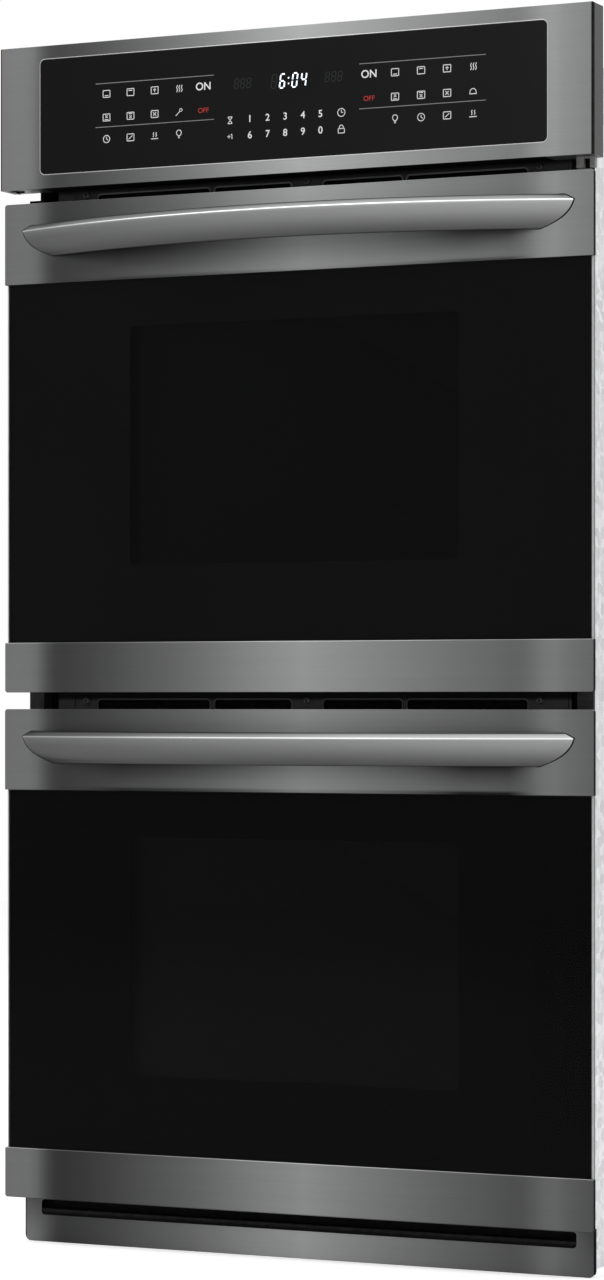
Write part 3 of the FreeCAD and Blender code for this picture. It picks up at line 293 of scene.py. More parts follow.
class Effects:
    """The shared surface effects, each a node group that is built once."""

    # place across the front in millimetres, and display level of the light that a brushed sheet gives back
    SHEEN = ((-343, 112), (-325, 114), (-311, 113), (-302, 106), (-296, 92), (-288, 75), (-280, 64),
             (-270, 61), (-242, 67), (-210, 76), (-174, 88), (-145, 96), (-116, 105), (-88, 115), (-59, 126),
             (-31, 135), (-3, 142), (16, 147), (34, 144), (79, 134), (125, 124), (161, 116), (190, 109),
             (224, 103), (250, 97), (264, 98), (276, 106), (288, 116), (301, 118), (312, 110), (343, 99))
    SHEEN_HALF = 345.0
    # where the bar's shade lies: its height and half length, and how full it is over both
    SHADE_HEIGHT = 58.0 * MM
    SHADE_HALF = 290.0 * MM
    SHADE_RISE = ((0.0, 1.0), (0.045, 0.2), (0.1, 0.2), (0.24, 0.44), (0.36, 0.66), (0.5, 1.0), (0.56, 1.15),
                  (0.62, 1.7), (0.97, 1.7), (1.0, 0.0))
    SHADE_LEAST = 0.12
    SHADE_SPAN = ((-0.95, 0.0), (-0.83, 0.2), (-0.69, 0.62), (-0.52, 0.64), (-0.34, 0.56), (-0.17, 0.46),
                  (0.0, 0.26), (0.17, 0.24), (0.34, 0.33), (0.52, 0.5), (0.69, 0.84), (0.86, 0.8),
                  (0.96, 0.0))
    SHEEN_BASE = linear(110)
    # how full the dusk past a slot's ends is along the sheet, and how much of it is left at the sheet's foot
    END_SPAN = ((-343, 1.0), (-315, 1.0), (-300, 0.0), (305, 0.0), (325, 0.45), (343, 1.0))
    END_FOOT = 0.2

    @classmethod
    def group(cls, name: str) -> bpy.types.NodeTree:
        """The named node group, made at its first use.

        Args:
            name: One of the effect methods of this class.

        Returns:
            The group's node tree.
        """
        found = bpy.data.node_groups.get(name)
        if found is None:
            found = bpy.data.node_groups.new(name, "ShaderNodeTree")
            getattr(cls, name)(Graph(found))
        return found

    @classmethod
    def use(cls, graph: Graph, name: str, **inputs: object) -> bpy.types.Node:
        """Place an effect in a material and set its inputs.

        Args:
            graph: The material's nodes.
            name: The effect.
            inputs: The group's inputs, in small letters with underscores.

        Returns:
            The group's node.
        """
        made = graph.node("ShaderNodeGroup", node_tree=cls.group(name))
        for key, value in inputs.items():
            graph.feed(made.inputs[key.replace("_", " ").capitalize()], value)
        return made

    @classmethod
    def brushing(cls, graph: Graph, run: Sequence[float], amount: float) -> bpy.types.Node:
        """Place the brushed grain, stretched along each axis by its number in run."""
        return cls.use(graph, "sheet_grain", along_x=run[0], along_y=run[1], along_z=run[2], amount=amount)

    @staticmethod
    def sheet_grain(graph: Graph) -> None:
        """Fine brushed lines: a tone round 1 and a height.

        Args:
            graph: The group's nodes.
        """
        numbers = {"Along x": 5.0, "Along y": 900.0, "Along z": 900.0, "Amount": 0.06}
        given, result = graph.ends(numbers, ("Tone", "Height"))
        stretch = graph.node("ShaderNodeCombineXYZ", *given.outputs[:3])
        point = graph.stretched(graph.place(), stretch.outputs[0])
        fine = graph.noise(point, 1.0, 3.0, 0.65)
        broad = graph.noise(graph.stretched(point, (0.35, 0.12, 0.12)), 1.0, 2.0)
        both = graph.math("ADD", graph.math("MULTIPLY", fine, 0.65), graph.math("MULTIPLY", broad, 0.35))
        swing = graph.math("MULTIPLY", graph.math("SUBTRACT", both, 0.5), given.outputs["Amount"])
        graph.feed(result.inputs["Tone"], graph.math("ADD", graph.math("MULTIPLY", swing, 4.0), 1.0))
        graph.feed(result.inputs["Height"], fine)

    @classmethod
    def painted_sheen_bands(cls, graph: Graph) -> None:
        """Painted reflection: slow light and dark bands, painted into the colour across a wide front sheet.

        Args:
            graph: The group's nodes.
        """
        given, result = graph.ends({"Depth": 1.0, "Tilt": 0.0, "Shift": 0.0}, ("Tone",))
        across = graph.axes()
        half = cls.SHEEN_HALF * MM
        share = graph.spread(graph.math("ADD", across.outputs["X"], given.outputs["Shift"]), -half, half)
        band = graph.grey_ramp(share, [((x + cls.SHEEN_HALF) / (2 * cls.SHEEN_HALF), linear(level))
                                       for x, level in cls.SHEEN])
        tone = graph.math("POWER", graph.math("DIVIDE", band, cls.SHEEN_BASE), given.outputs["Depth"])
        lean = graph.math("MULTIPLY", graph.math("DIVIDE", across.outputs["X"], half), given.outputs["Tilt"])
        graph.feed(result.inputs["Tone"], graph.math("MULTIPLY", tone, graph.math("ADD", lean, 1.0)))

    @classmethod
    def bar_shade(cls, graph: Graph) -> None:
        """The dark reflection that a bar leaves on the brushed sheet behind and under it.

        Args:
            graph: The group's nodes.
        """
        given, result = graph.ends({"Foot": 0.0, "Depth": 1.0}, ("Tone",))
        split = graph.axes()
        above = graph.math("SUBTRACT", split.outputs["Z"], given.outputs["Foot"])
        rise = graph.grey_ramp(graph.spread(above, 0.0, cls.SHADE_HEIGHT), cls.SHADE_RISE)
        across = graph.spread(split.outputs["X"], -cls.SHADE_HALF, cls.SHADE_HALF)
        span = graph.grey_ramp(across, [(x / 2 + 0.5, full) for x, full in cls.SHADE_SPAN])
        lost = graph.math("MULTIPLY", graph.math("MULTIPLY", rise, span), given.outputs["Depth"])
        left = graph.math("MAXIMUM", graph.math("SUBTRACT", 1.0, lost), cls.SHADE_LEAST)
        graph.feed(result.inputs["Tone"], left)

    @classmethod
    def end_shade(cls, graph: Graph) -> None:
        """The dusk on a sheet past the ends of a long slot in it, dying away downwards.

        Args:
            graph: The group's nodes.
        """
        given, result = graph.ends({"High": 0.05, "Depth": 0.5}, ("Tone",))
        split = graph.axes()
        across = graph.spread(split.outputs["X"], -cls.SHEEN_HALF * MM, cls.SHEEN_HALF * MM)
        span = graph.grey_ramp(across, [(x / cls.SHEEN_HALF / 2 + 0.5, full) for x, full in cls.END_SPAN])
        rise = graph.math("DIVIDE", split.outputs["Z"], given.outputs["High"])
        full = graph.math("ADD", graph.math("MULTIPLY", rise, 1 - cls.END_FOOT), cls.END_FOOT)
        lost = graph.math("MULTIPLY", graph.math("MULTIPLY", full, span), given.outputs["Depth"])
        graph.feed(result.inputs["Tone"], graph.math("SUBTRACT", 1.0, lost))

    @staticmethod
    def handling_marks(graph: Graph) -> None:
        """Faint smears of use: a small change of roughness and a tone near 1.

        Args:
            graph: The group's nodes.
        """
        given, result = graph.ends({"Size": 9.0, "Amount": 0.05}, ("Roughness", "Tone"))
        soft = graph.noise(graph.place(), given.outputs["Size"], 4.0)
        soft.node.inputs["Distortion"].default_value = 0.6
        swing = graph.math("MULTIPLY", graph.math("SUBTRACT", soft, 0.5), given.outputs["Amount"])
        graph.feed(result.inputs["Roughness"], swing)
        graph.feed(result.inputs["Tone"], graph.math("ADD", swing, 1.0))

    @staticmethod
    def worn_edge(graph: Graph) -> None:
        """Where a coat is rubbed thin: a mask along the outer edges, broken up by noise.

        Args:
            graph: The group's nodes.
        """
        given, result = graph.ends({"Reach": 0.04}, ("Mask",))
        sharp = graph.node("ShaderNodeNewGeometry").outputs["Pointiness"]
        lift = graph.math("DIVIDE", graph.math("SUBTRACT", sharp, 0.5), given.outputs["Reach"], clamp=True)
        broken = graph.spread(graph.noise(graph.place(), 160.0, 3.0), 0.35, 0.7)
        graph.feed(result.inputs["Mask"], graph.math("MULTIPLY", lift, broken))

    @staticmethod
    def powder_skin(graph: Graph) -> None:
        """The pebbled skin of a baked powder coat: a height, and a tone near 1.

        Args:
            graph: The group's nodes.
        """
        given, result = graph.ends({"Size": 900.0}, ("Height", "Tone"))
        graph.feed(result.inputs["Height"], graph.noise(graph.place(), given.outputs["Size"], 3.0))
        slow = graph.noise(graph.place(), 14.0, 3.0)
        graph.feed(result.inputs["Tone"], graph.spread(slow, 0.2, 0.8, 0.88, 1.12))

    @staticmethod
    def enamel_specks(graph: Graph) -> None:
        """Pale specks fired into dark enamel: a mask and a height.

        Args:
            graph: The group's nodes.
        """
        given, result = graph.ends({"Size": 420.0, "Cover": 0.16}, ("Mask", "Height"))
        cells = graph.node("ShaderNodeTexVoronoi", graph.place())
        graph.feed(cells.inputs["Scale"], given.outputs["Size"])
        near = graph.math("LESS_THAN", cells.outputs["Distance"], given.outputs["Cover"])
        some = graph.math("GREATER_THAN", graph.noise(graph.place(), 700.0, 1.0), 0.52)
        graph.feed(result.inputs["Mask"], graph.math("MULTIPLY", near, some))
        graph.feed(result.inputs["Height"], graph.noise(graph.place(), 60.0, 2.0))

    @staticmethod
    def zinc_spangle(graph: Graph) -> None:
        """The crystal facets of hot-dipped zinc: a tone round 1 and a height.

        Args:
            graph: The group's nodes.
        """
        given, result = graph.ends({"Size": 90.0, "Amount": 0.22}, ("Tone", "Height"))
        cells = graph.node("ShaderNodeTexVoronoi", graph.place())
        graph.feed(cells.inputs["Scale"], given.outputs["Size"])
        pick = graph.node("ShaderNodeSeparateColor", cells.outputs["Color"])
        streak = graph.noise(graph.place(), 260.0, 3.0)
        both = graph.math("ADD", graph.math("MULTIPLY", pick.outputs[0], 0.7),
                          graph.math("MULTIPLY", streak, 0.3))
        swing = graph.math("MULTIPLY", graph.math("SUBTRACT", both, 0.5), given.outputs["Amount"])
        graph.feed(result.inputs["Tone"], graph.math("ADD", swing, 1.0))
        graph.feed(result.inputs["Height"], both)


# ---------------------------------------------------------------- finishes
@dataclass(frozen=True)
class Finish:
    """A surface finish: its name, the record slot it belongs to, and its plain colour."""

    name: str
    slot: Slot
    colour: tuple[float, float, float]
    roughness: float = 0.4

    def material(self) -> bpy.types.Material:
        """The Blender material of this finish, made at its first use.

        Returns:
            The material.
        """
        found = bpy.data.materials.get(self.name)
        if found is None:
            found = bpy.data.materials.new(self.name)
            found.use_nodes = True
            found.node_tree.nodes.clear()
            graph = Graph(found.node_tree)
            shader = graph.node("ShaderNodeBsdfPrincipled")
            graph.node("ShaderNodeOutputMaterial", shader.outputs["BSDF"])
            shader.inputs["Base Color"].default_value = (*self.colour, 1.0)
            shader.inputs["Roughness"].default_value = self.roughness
            self.dress(graph, shader)
            found.diffuse_color = (*self.colour, 1.0)
        return found

    def dress(self, graph: Graph, shader: bpy.types.Node) -> None:
        """Join this finish's nodes to the shader."""

    def toned(self, graph: Graph, shader: bpy.types.Node, *tones: object) -> None:
        """Feed the base colour with the plain colour multiplied by tones.

        Args:
            graph: The material's nodes.
            shader: Its shader.
            tones: The tones, each near 1.
        """
        total = tones[0]
        for tone in tones[1:]:
            total = graph.math("MULTIPLY", total, tone)
        graph.feed(shader.inputs["Base Color"], self.scaled(graph, total))

    def scaled(self, graph: Graph, tone: Socket) -> Socket:
        """The plain colour multiplied by a tone.

        Args:
            graph: The material's nodes.
            tone: The tone.

        Returns:
            The colour.
        """
        made = graph.node("ShaderNodeVectorMath", self.colour, operation="SCALE")
        graph.feed(made.inputs["Scale"], tone)
        return made.outputs[0]

    def smeared(self, graph: Graph, shader: bpy.types.Node, size: float, amount: float) -> Socket:
        """Vary the roughness with handling marks, and return their tone.

        Args:
            graph: The material's nodes.
            shader: Its shader.
            size: How fine the marks are.
            amount: How strong they are.

        Returns:
            Their tone.
        """
        marks = Effects.use(graph, "handling_marks", size=size, amount=amount)
        graph.feed(shader.inputs["Roughness"],
                   graph.math("ADD", marks.outputs["Roughness"], self.roughness, clamp=True))
        return marks.outputs["Tone"]


@dataclass(frozen=True)
class BrushedSheet(Finish):
    """Dark coated steel with fine brushing, and slow bands of painted reflection in its colour.

    The shade is that of a bar in front of the sheet, as its foot and its depth, and the dusk is that past a
    slot's ends, as the height at which it is full and its depth. Zeros leave either out.
    """

    grain: Grain = Grain.ACROSS
    sheen: float = 1.0
    tilt: float = 0.0
    shift: float = 0.0
    shade: tuple[float, float] = (0.0, 0.0)
    dusk: tuple[float, float] = (0.0, 0.0)
    grain_amount: float = 0.055
    metallic: float = 1.0

    def dress(self, graph: Graph, shader: bpy.types.Node) -> None:
        """Tone the metal with its grain, its painted sheen bands, any painted shade or dusk, and smears.

        Args:
            graph: The material's nodes.
            shader: Its shader.
        """
        grain = Effects.brushing(graph, self.grain.value, self.grain_amount)
        sheen = Effects.use(graph, "painted_sheen_bands", depth=self.sheen, tilt=self.tilt, shift=self.shift)
        tones = [grain.outputs["Tone"], sheen.outputs["Tone"], self.smeared(graph, shader, 7.0, 0.06)]
        if any(self.shade):
            shade = Effects.use(graph, "bar_shade", foot=self.shade[0], depth=self.shade[1])
            tones.append(shade.outputs["Tone"])
        if any(self.dusk):
            dusk = Effects.use(graph, "end_shade", high=self.dusk[0], depth=self.dusk[1])
            tones.append(dusk.outputs["Tone"])
        self.toned(graph, shader, *tones)
        shader.inputs["Metallic"].default_value = self.metallic
        graph.relief(shader, grain.outputs["Height"], 0.00004, 0.25)


@dataclass(frozen=True)
class HandleMetal(Finish):
    """The brushed handle bar, its light and shade painted into its colour by height and along the bar:
    a painted highlight on the ridge, a darker facet over it and a face that darkens downwards.
    """

    low: float = 0.0
    high: float = 1.0
    # painted light: the facet's display levels at the left and the right end, and gains at the foot and the
    # ridge
    facet: tuple[float, float] = (95.0, 95.0)
    gains: tuple[float, float] = (1.0, 1.0)
    half_span: float = 0.3
    # painted light: share of the bar's height, and its display level there, at the left and the right end,
    # from a shaded foot up to the highlight on the ridge
    LEFT = ((0.0, 26), (0.03, 52), (0.06, 63), (0.23, 70), (0.4, 75), (0.57, 81), (0.74, 96), (0.79, 104),
            (0.81, 125), (0.82, 165), (0.836, 160))
    RIGHT = ((0.0, 26), (0.03, 52), (0.06, 70), (0.23, 86), (0.4, 105), (0.57, 124), (0.74, 142), (0.79, 148),
             (0.81, 190), (0.82, 255), (0.836, 255))
    # share of the bar's height over the ridge, and how much of the facet's level is left there, fading to a
    # painted shadow line at the top
    FACET = ((0.852, 1.0), (0.93, 0.9), (0.965, 0.72), (0.985, 0.25), (1.0, 0.15))

    def dress(self, graph: Graph, shader: bpy.types.Node) -> None:
        """Paint light and shade into the metal by height and along the bar, with grain along it.

        Args:
            graph: The material's nodes.
            shader: Its shader.
        """
        x, y, z = Grain.ACROSS.value
        grain = Effects.brushing(graph, (x, y / 2, z), 0.035)
        split = graph.axes()
        share = graph.spread(split.outputs["Z"], self.low, self.high)
        foot, rise = self.gains[0], self.gains[1] - self.gains[0]
        sides = []
        for levels, facet in zip((self.LEFT, self.RIGHT), self.facet):
            levels += tuple((place, facet * left) for place, left in self.FACET)
            sides.append(graph.grey_ramp(share, [(place, min(linear(level) * (foot + rise * place), 1.0))
                                                 for place, level in levels]))
        across = graph.spread(split.outputs["X"], -self.half_span, self.half_span)
        smear = self.smeared(graph, shader, 11.0, 0.04)
        self.toned(graph, shader, graph.blend(across, *sides), grain.outputs["Tone"], smear)
        shader.inputs["Metallic"].default_value = 1.0
        graph.relief(shader, grain.outputs["Height"], 0.00003, 0.2)


@dataclass(frozen=True)
class PowderCoat(Finish):
    """Satin baked paint with a pebbled skin, rubbed a little at its edges."""

    worn: tuple[float, float, float] = (0.09, 0.09, 0.09)
    skin: float = 900.0
    gloss: float = 0.15

    def dress(self, graph: Graph, shader: bpy.types.Node) -> None:
        """Add the skin and the worn edges.

        Args:
            graph: The material's nodes.
            shader: Its shader.
        """
        skin = Effects.use(graph, "powder_skin", size=self.skin)
        wear = Effects.use(graph, "worn_edge", reach=0.05)
        tint = self.scaled(graph, skin.outputs["Tone"])
        mask = graph.math("MULTIPLY", wear.outputs["Mask"], 0.5)
        graph.feed(shader.inputs["Base Color"], graph.blend(mask, tint, (*self.worn, 1.0)))
        self.pebbled(graph, shader, skin)

    def pebbled(self, graph: Graph, shader: bpy.types.Node, skin: bpy.types.Node) -> None:
        """Smear the coat and raise its pebbles.

        Args:
            graph: The material's nodes.
            shader: Its shader.
            skin: The node of the skin's effect.
        """
        self.smeared(graph, shader, 12.0, 0.08)
        shader.inputs["Specular IOR Level"].default_value = self.gloss
        graph.relief(shader, skin.outputs["Height"], 0.08 * MM, 0.35)


@dataclass(frozen=True)
class GapShadowBlack(PowderCoat):
    """Black paint deep in the gap over a door, with painted shadow that darkens it towards the gap's roof."""

    low: float = 0.0
    high: float = 1.0
    # painted shadow: how much of the paint's tone is left when the darkening has just begun, is half done and
    # is full
    FALL = ((0.0, 1.0), (0.5, 0.45), (1.0, 0.12))

    def dress(self, graph: Graph, shader: bpy.types.Node) -> None:
        """Paint shadow into the paint, darker upwards.

        Args:
            graph: The material's nodes.
            shader: Its shader.
        """
        skin = Effects.use(graph, "powder_skin", size=self.skin)
        split = graph.axes()
        share = graph.spread(split.outputs["Z"], self.low, self.high)
        self.toned(graph, shader, graph.grey_ramp(share, self.FALL), skin.outputs["Tone"])
        self.pebbled(graph, shader, skin)


@dataclass(frozen=True)
class Enamel(Finish):
    """Glossy porcelain enamel, dark with pale specks."""

    speck: tuple[float, float, float] = (0.24, 0.26, 0.3)

    def dress(self, graph: Graph, shader: bpy.types.Node) -> None:
        """Add the specks and the gentle waviness of fired glass.

        Args:
            graph: The material's nodes.
            shader: Its shader.
        """
        specks = Effects.use(graph, "enamel_specks", size=420.0, cover=0.2)
        graph.feed(shader.inputs["Base Color"],
                   graph.blend(specks.outputs["Mask"], (*self.colour, 1.0), (*self.speck, 1.0)))
        self.smeared(graph, shader, 8.0, 0.1)
        graph.relief(shader, specks.outputs["Height"], 0.0004, 0.12)


@dataclass(frozen=True)
class ZincSheet(Finish):
    """Hot-dipped zinc with its crystal spangle."""

    size: float = 110.0
    amount: float = 0.42

    def dress(self, graph: Graph, shader: bpy.types.Node) -> None:
        """Tone the zinc by its crystals and smears.

        Args:
            graph: The material's nodes.
            shader: Its shader.
        """
        spangle = Effects.use(graph, "zinc_spangle", size=self.size, amount=self.amount)
        smear = self.smeared(graph, shader, 5.0, 0.16)
        self.toned(graph, shader, spangle.outputs["Tone"], smear)
        shader.inputs["Metallic"].default_value = 0.85
        graph.relief(shader, spangle.outputs["Height"], 0.00005, 0.3)


@dataclass(frozen=True)
class PressedSteel(Finish):
    """Plain pressed or plated steel with fine grain and darker smears."""

    grain: Grain = Grain.INWARD
    metallic: float = 0.95

    def dress(self, graph: Graph, shader: bpy.types.Node) -> None:
        """Tone the steel by its grain and smears.

        Args:
            graph: The material's nodes.
            shader: Its shader.
        """
        grain = Effects.brushing(graph, self.grain.value, 0.05)
        smear = self.smeared(graph, shader, 16.0, 0.22)
        self.toned(graph, shader, grain.outputs["Tone"], smear)
        shader.inputs["Metallic"].default_value = self.metallic
        graph.relief(shader, grain.outputs["Height"], 0.00004, 0.3)


@dataclass(frozen=True)
class PaneGlass(Finish):
    """A polished glass pane, tinted through its colour."""

    gloss: float = 0.5
    ior: float = 1.5

    def dress(self, graph: Graph, shader: bpy.types.Node) -> None:
        """Let light through and smear the polish a little.

        Args:
            graph: The material's nodes.
            shader: Its shader.
        """
        self.smeared(graph, shader, 6.0, 0.015)
        shader.inputs["Transmission Weight"].default_value = 1.0
        shader.inputs["IOR"].default_value = self.ior
        shader.inputs["Specular IOR Level"].default_value = self.gloss


@dataclass(frozen=True)
class BlackGlass(Finish):
    """Glass whose back is printed black: a dark gloss, lightened towards the right as a painted reflection.
    """

    gloss: float = 0.07
    # how much lighter its right end is than its left: a painted reflection
    lift: float = 1.6

    def dress(self, graph: Graph, shader: bpy.types.Node) -> None:
        """Paint a reflection into the black: lighten it slowly across the pane.

        Args:
            graph: The material's nodes.
            shader: Its shader.
        """
        split = graph.axes()
        across = graph.spread(split.outputs["X"], -0.3, 0.3, 1.0, self.lift)
        cloud = graph.spread(graph.noise(graph.place(), 5.0, 3.0), 0.3, 0.7, 0.85, 1.15)
        self.toned(graph, shader, across, cloud)
        self.smeared(graph, shader, 6.0, 0.02)
        shader.inputs["Specular IOR Level"].default_value = self.gloss


@dataclass(frozen=True)
class Wool(Finish):
    """A matted blanket of glass fibre."""

    def dress(self, graph: Graph, shader: bpy.types.Node) -> None:
        """Break the blanket up with fibres and clumps.

        Args:
            graph: The material's nodes.
            shader: Its shader.
        """
        point = graph.place()
        fibre = graph.noise(graph.stretched(point, (500.0, 90.0, 500.0)), 1.0, 4.0, 0.7)
        clump = graph.noise(point, 26.0, 4.0)
        self.toned(graph, shader, graph.spread(fibre, 0.25, 0.75, 0.75, 1.15),
                   graph.spread(clump, 0.3, 0.7, 0.8, 1.1))
        height = graph.math("ADD", fibre, graph.math("MULTIPLY", clump, 2.0))
        graph.relief(shader, height, 0.002, 0.8)
        shader.inputs["Sheen Weight"].default_value = 0.3


@dataclass(frozen=True)
class Braid(Finish):
    """A tubular braid of glass yarn."""

    pitch: float = 0.006

    def dress(self, graph: Graph, shader: bpy.types.Node) -> None:
        """Cross two sets of slanting yarns.

        Args:
            graph: The material's nodes.
            shader: Its shader.
        """
        point = graph.place()
        turn = 2 * math.pi / self.pitch
        waves = []
        for slant in ((turn, turn * 0.8, turn), (turn, -turn * 0.8, -turn)):
            along = graph.node("ShaderNodeVectorMath", point, slant, operation="DOT_PRODUCT")
            waves.append(graph.math("SINE", along.outputs["Value"]))
        height = graph.math("MAXIMUM", waves[0], waves[1])
        fuzz = graph.noise(point, 1500.0, 2.0)
        self.toned(graph, shader, graph.spread(height, -0.6, 1.0, 0.45, 1.25),
                   graph.spread(fuzz, 0.3, 0.7, 0.8, 1.2))
        graph.relief(shader, height, 0.0006, 0.9)
        shader.inputs["Sheen Weight"].default_value = 0.2


@dataclass(frozen=True)
class Sheath(Finish):
    """The oxidised sheath of a heating rod, in dull brown-black patches."""

    def dress(self, graph: Graph, shader: bpy.types.Node) -> None:
        """Mottle the oxide.

        Args:
            graph: The material's nodes.
            shader: Its shader.
        """
        patch = graph.noise(graph.place(), 70.0, 4.0, 0.6)
        colours = [(0.3, (0.035, 0.03, 0.028)), (0.5, self.colour), (0.72, (0.2, 0.17, 0.15))]
        graph.feed(shader.inputs["Base Color"], graph.ramp(patch, colours))
        graph.feed(shader.inputs["Roughness"], graph.spread(patch, 0.3, 0.7, 0.35, 0.65))
        shader.inputs["Metallic"].default_value = 0.8


@dataclass(frozen=True)
class Plating(Finish):
    """Bright plated wire, a little clouded by heat."""

    def dress(self, graph: Graph, shader: bpy.types.Node) -> None:
        """Cloud the plating.

        Args:
            graph: The material's nodes.
            shader: Its shader.
        """
        haze = graph.noise(graph.place(), 30.0, 3.0)
        tint = graph.ramp(haze, [(0.35, self.colour), (0.75, (0.5, 0.46, 0.4))])
        graph.feed(shader.inputs["Base Color"], tint)
        graph.feed(shader.inputs["Roughness"], graph.spread(haze, 0.3, 0.7, 0.14, 0.3))
        shader.inputs["Metallic"].default_value = 1.0


@dataclass(frozen=True)
class SolderMask(Finish):
    """A printed circuit board: solder mask with lighter copper tracks under it."""

    def dress(self, graph: Graph, shader: bpy.types.Node) -> None:
        """Draw tracks as rings of square cells.

        Args:
            graph: The material's nodes.
            shader: Its shader.
        """
        cells = graph.node("ShaderNodeTexVoronoi", graph.place(), distance="CHEBYCHEV")
        cells.inputs["Scale"].default_value = 160.0
        rings = graph.math("FRACT", graph.math("MULTIPLY", cells.outputs["Distance"], 4.0))
        track = graph.math("GREATER_THAN", rings, 0.7)
        light = tuple(min(1.0, value * 2.2 + 0.02) for value in self.colour)
        graph.feed(shader.inputs["Base Color"],
                   graph.blend(graph.math("MULTIPLY", track, 0.6), (*self.colour, 1.0), (*light, 1.0)))
        graph.relief(shader, track, 0.00003, 0.3)


@dataclass(frozen=True)
class PrintedInk(Finish):
    """Screen-printed ink, slightly uneven."""

    def dress(self, graph: Graph, shader: bpy.types.Node) -> None:
        """Vary the ink's cover.

        Args:
            graph: The material's nodes.
            shader: Its shader.
        """
        patch = graph.noise(graph.place(), 900.0, 2.0)
        self.toned(graph, shader, graph.spread(patch, 0.25, 0.75, 0.88, 1.06))
        shader.inputs["Specular IOR Level"].default_value = 0.2


@dataclass(frozen=True)
class LitSegment(Finish):
    """A lit display segment, its glow a little uneven."""

    strength: float = 1.0

    def dress(self, graph: Graph, shader: bpy.types.Node) -> None:
        """Let the segment glow.

        Args:
            graph: The material's nodes.
            shader: Its shader.
        """
        patch = graph.noise(graph.place(), 400.0, 1.0)
        low = tuple(value * 0.85 for value in self.colour)
        graph.feed(shader.inputs["Emission Color"], graph.ramp(patch, [(0.3, low), (0.6, self.colour)]))
        shader.inputs["Emission Strength"].default_value = self.strength


# the plain colour of the front's brushed steel, before a sheet's own gain: the gains make lighter and
# darker copies of it for the sheets, as painted light
STEEL_TONE = (0.1553, 0.158, 0.157)


def steel(name: str, gain: float, sheen: float = 1.0, tilt: float = 0.0, shift: float = 0.0,
          shade: tuple[float, float] = (0.0, 0.0), dusk: tuple[float, float] = (0.0, 0.0)) -> BrushedSheet:
    """The dark brushed steel of the front, as one sheet's lighter or darker copy: painted light."""
    colour = tuple(value * gain for value in STEEL_TONE)
    return BrushedSheet(name, Slot.STEEL, colour, 0.46, Grain.ACROSS, sheen, tilt, shift, shade, dusk)


PANEL_STEEL = steel("panel_steel", 1.06, 0.92, 0.2)
UPPER_HANDLE_STEEL = steel("upper_handle_strip_steel", 0.935, 0.97, 0.22, shade=(1.0435, 0.76))
UPPER_LOW_STEEL = steel("upper_low_strip_steel", 0.877, 0.985, 0.01)
LOWER_HANDLE_STEEL = steel("lower_handle_strip_steel", 0.8, 1.0, -0.01, shade=(0.4955, 1.08))
LOWER_LOW_STEEL = steel("lower_low_strip_steel", 0.68, 1.17, -0.17)
BASE_STEEL = steel("base_steel", 0.83, 1.17, -0.24, 0.013, dusk=(0.046, 0.56))
# near black, used as painted shade on the strips' undersides and ends, the handle bars' backs, the panel's
# underside, the clip backs, the base trim's ends, the louver below its lip and the baffles behind the slots;
# also on the panel's end seams, the side trims above their step and the side panels' black front
SHADE_AND_EDGE_BLACK = PowderCoat("shade_and_edge_black", Slot.STEEL, (0.004, 0.004, 0.004), 0.6, (0.02, 0.02, 0.02), 900.0, 0.02)
# painted highlights: lighter steel for the strips' tops and front top edges
TOP_HIGHLIGHT_STEEL = BrushedSheet("strip_top_highlight_steel", Slot.STEEL, (0.2, 0.204, 0.202), 0.45, Grain.ACROSS, 0.9)
EDGE_SHINE = BrushedSheet("strip_edge_shine", Slot.STEEL, (0.3, 0.305, 0.303), 0.4, Grain.ACROSS, 0.9)
BEZEL_STEEL = BrushedSheet("bezel_steel", Slot.STEEL, (0.42, 0.42, 0.415), 0.3, Grain.ACROSS, 0.3)
RETURN_STEEL = BrushedSheet("return_steel", Slot.STEEL, (0.043, 0.0435, 0.0435), 0.4, Grain.UPRIGHT, 0.0)
BLACK = PowderCoat("satin_black", Slot.PAINT, (0.006, 0.006, 0.006), 0.6, (0.03, 0.03, 0.03), 900.0, 0.06)
TRIM_GREY = PowderCoat("side_trim_paint", Slot.PAINT, (0.022, 0.022, 0.022), 0.5, (0.05, 0.05, 0.05),
                       900.0, 0.06)
# painted light: the beads round the vent slots are far lighter than black paint, to stand for light reaching
# deep into the gaps, the upper gap's copy more than the middle one's
UPPER_RIM = PowderCoat("upper_vent_rim_painted_light", Slot.PAINT, (0.3, 0.3, 0.3), 0.5, (0.3, 0.3, 0.3), 900.0, 0.1)
MIDDLE_RIM = PowderCoat("middle_vent_rim_painted_light", Slot.PAINT, (0.13, 0.13, 0.13), 0.5, (0.13, 0.13, 0.13),
                        900.0, 0.1)
FRAME_GREY = PowderCoat("frame_grey", Slot.FRAME, (0.36, 0.36, 0.355), 0.4, (0.5, 0.5, 0.5))
BRACKET_GREY = PowderCoat("bracket_grey", Slot.FRAME, (0.16, 0.16, 0.155), 0.45, (0.35, 0.35, 0.35))
ENAMEL = Enamel("speckled_enamel", Slot.ENAMEL, (0.016, 0.019, 0.026), 0.16)
SLEEVE = PowderCoat("sleeve_paint", Slot.ENAMEL, (0.05, 0.05, 0.052), 0.4)
ZINC = ZincSheet("spangled_zinc", Slot.ZINC, (0.63, 0.64, 0.65), 0.42)
DOOR_GLASS = PaneGlass("door_glass_tint", Slot.TINTED, (0.14, 0.14, 0.145), 0.02, 0.5, 1.12)
WINDOW_GLASS = PaneGlass("window_clear", Slot.CLEAR, (0.86, 0.9, 0.88), 0.02, 0.5, 1.45)
CONTROL_GLASS = BlackGlass("control_black_glass", Slot.TINTED, (0.0034, 0.0034, 0.0034), 0.1, 0.07, 2.4)
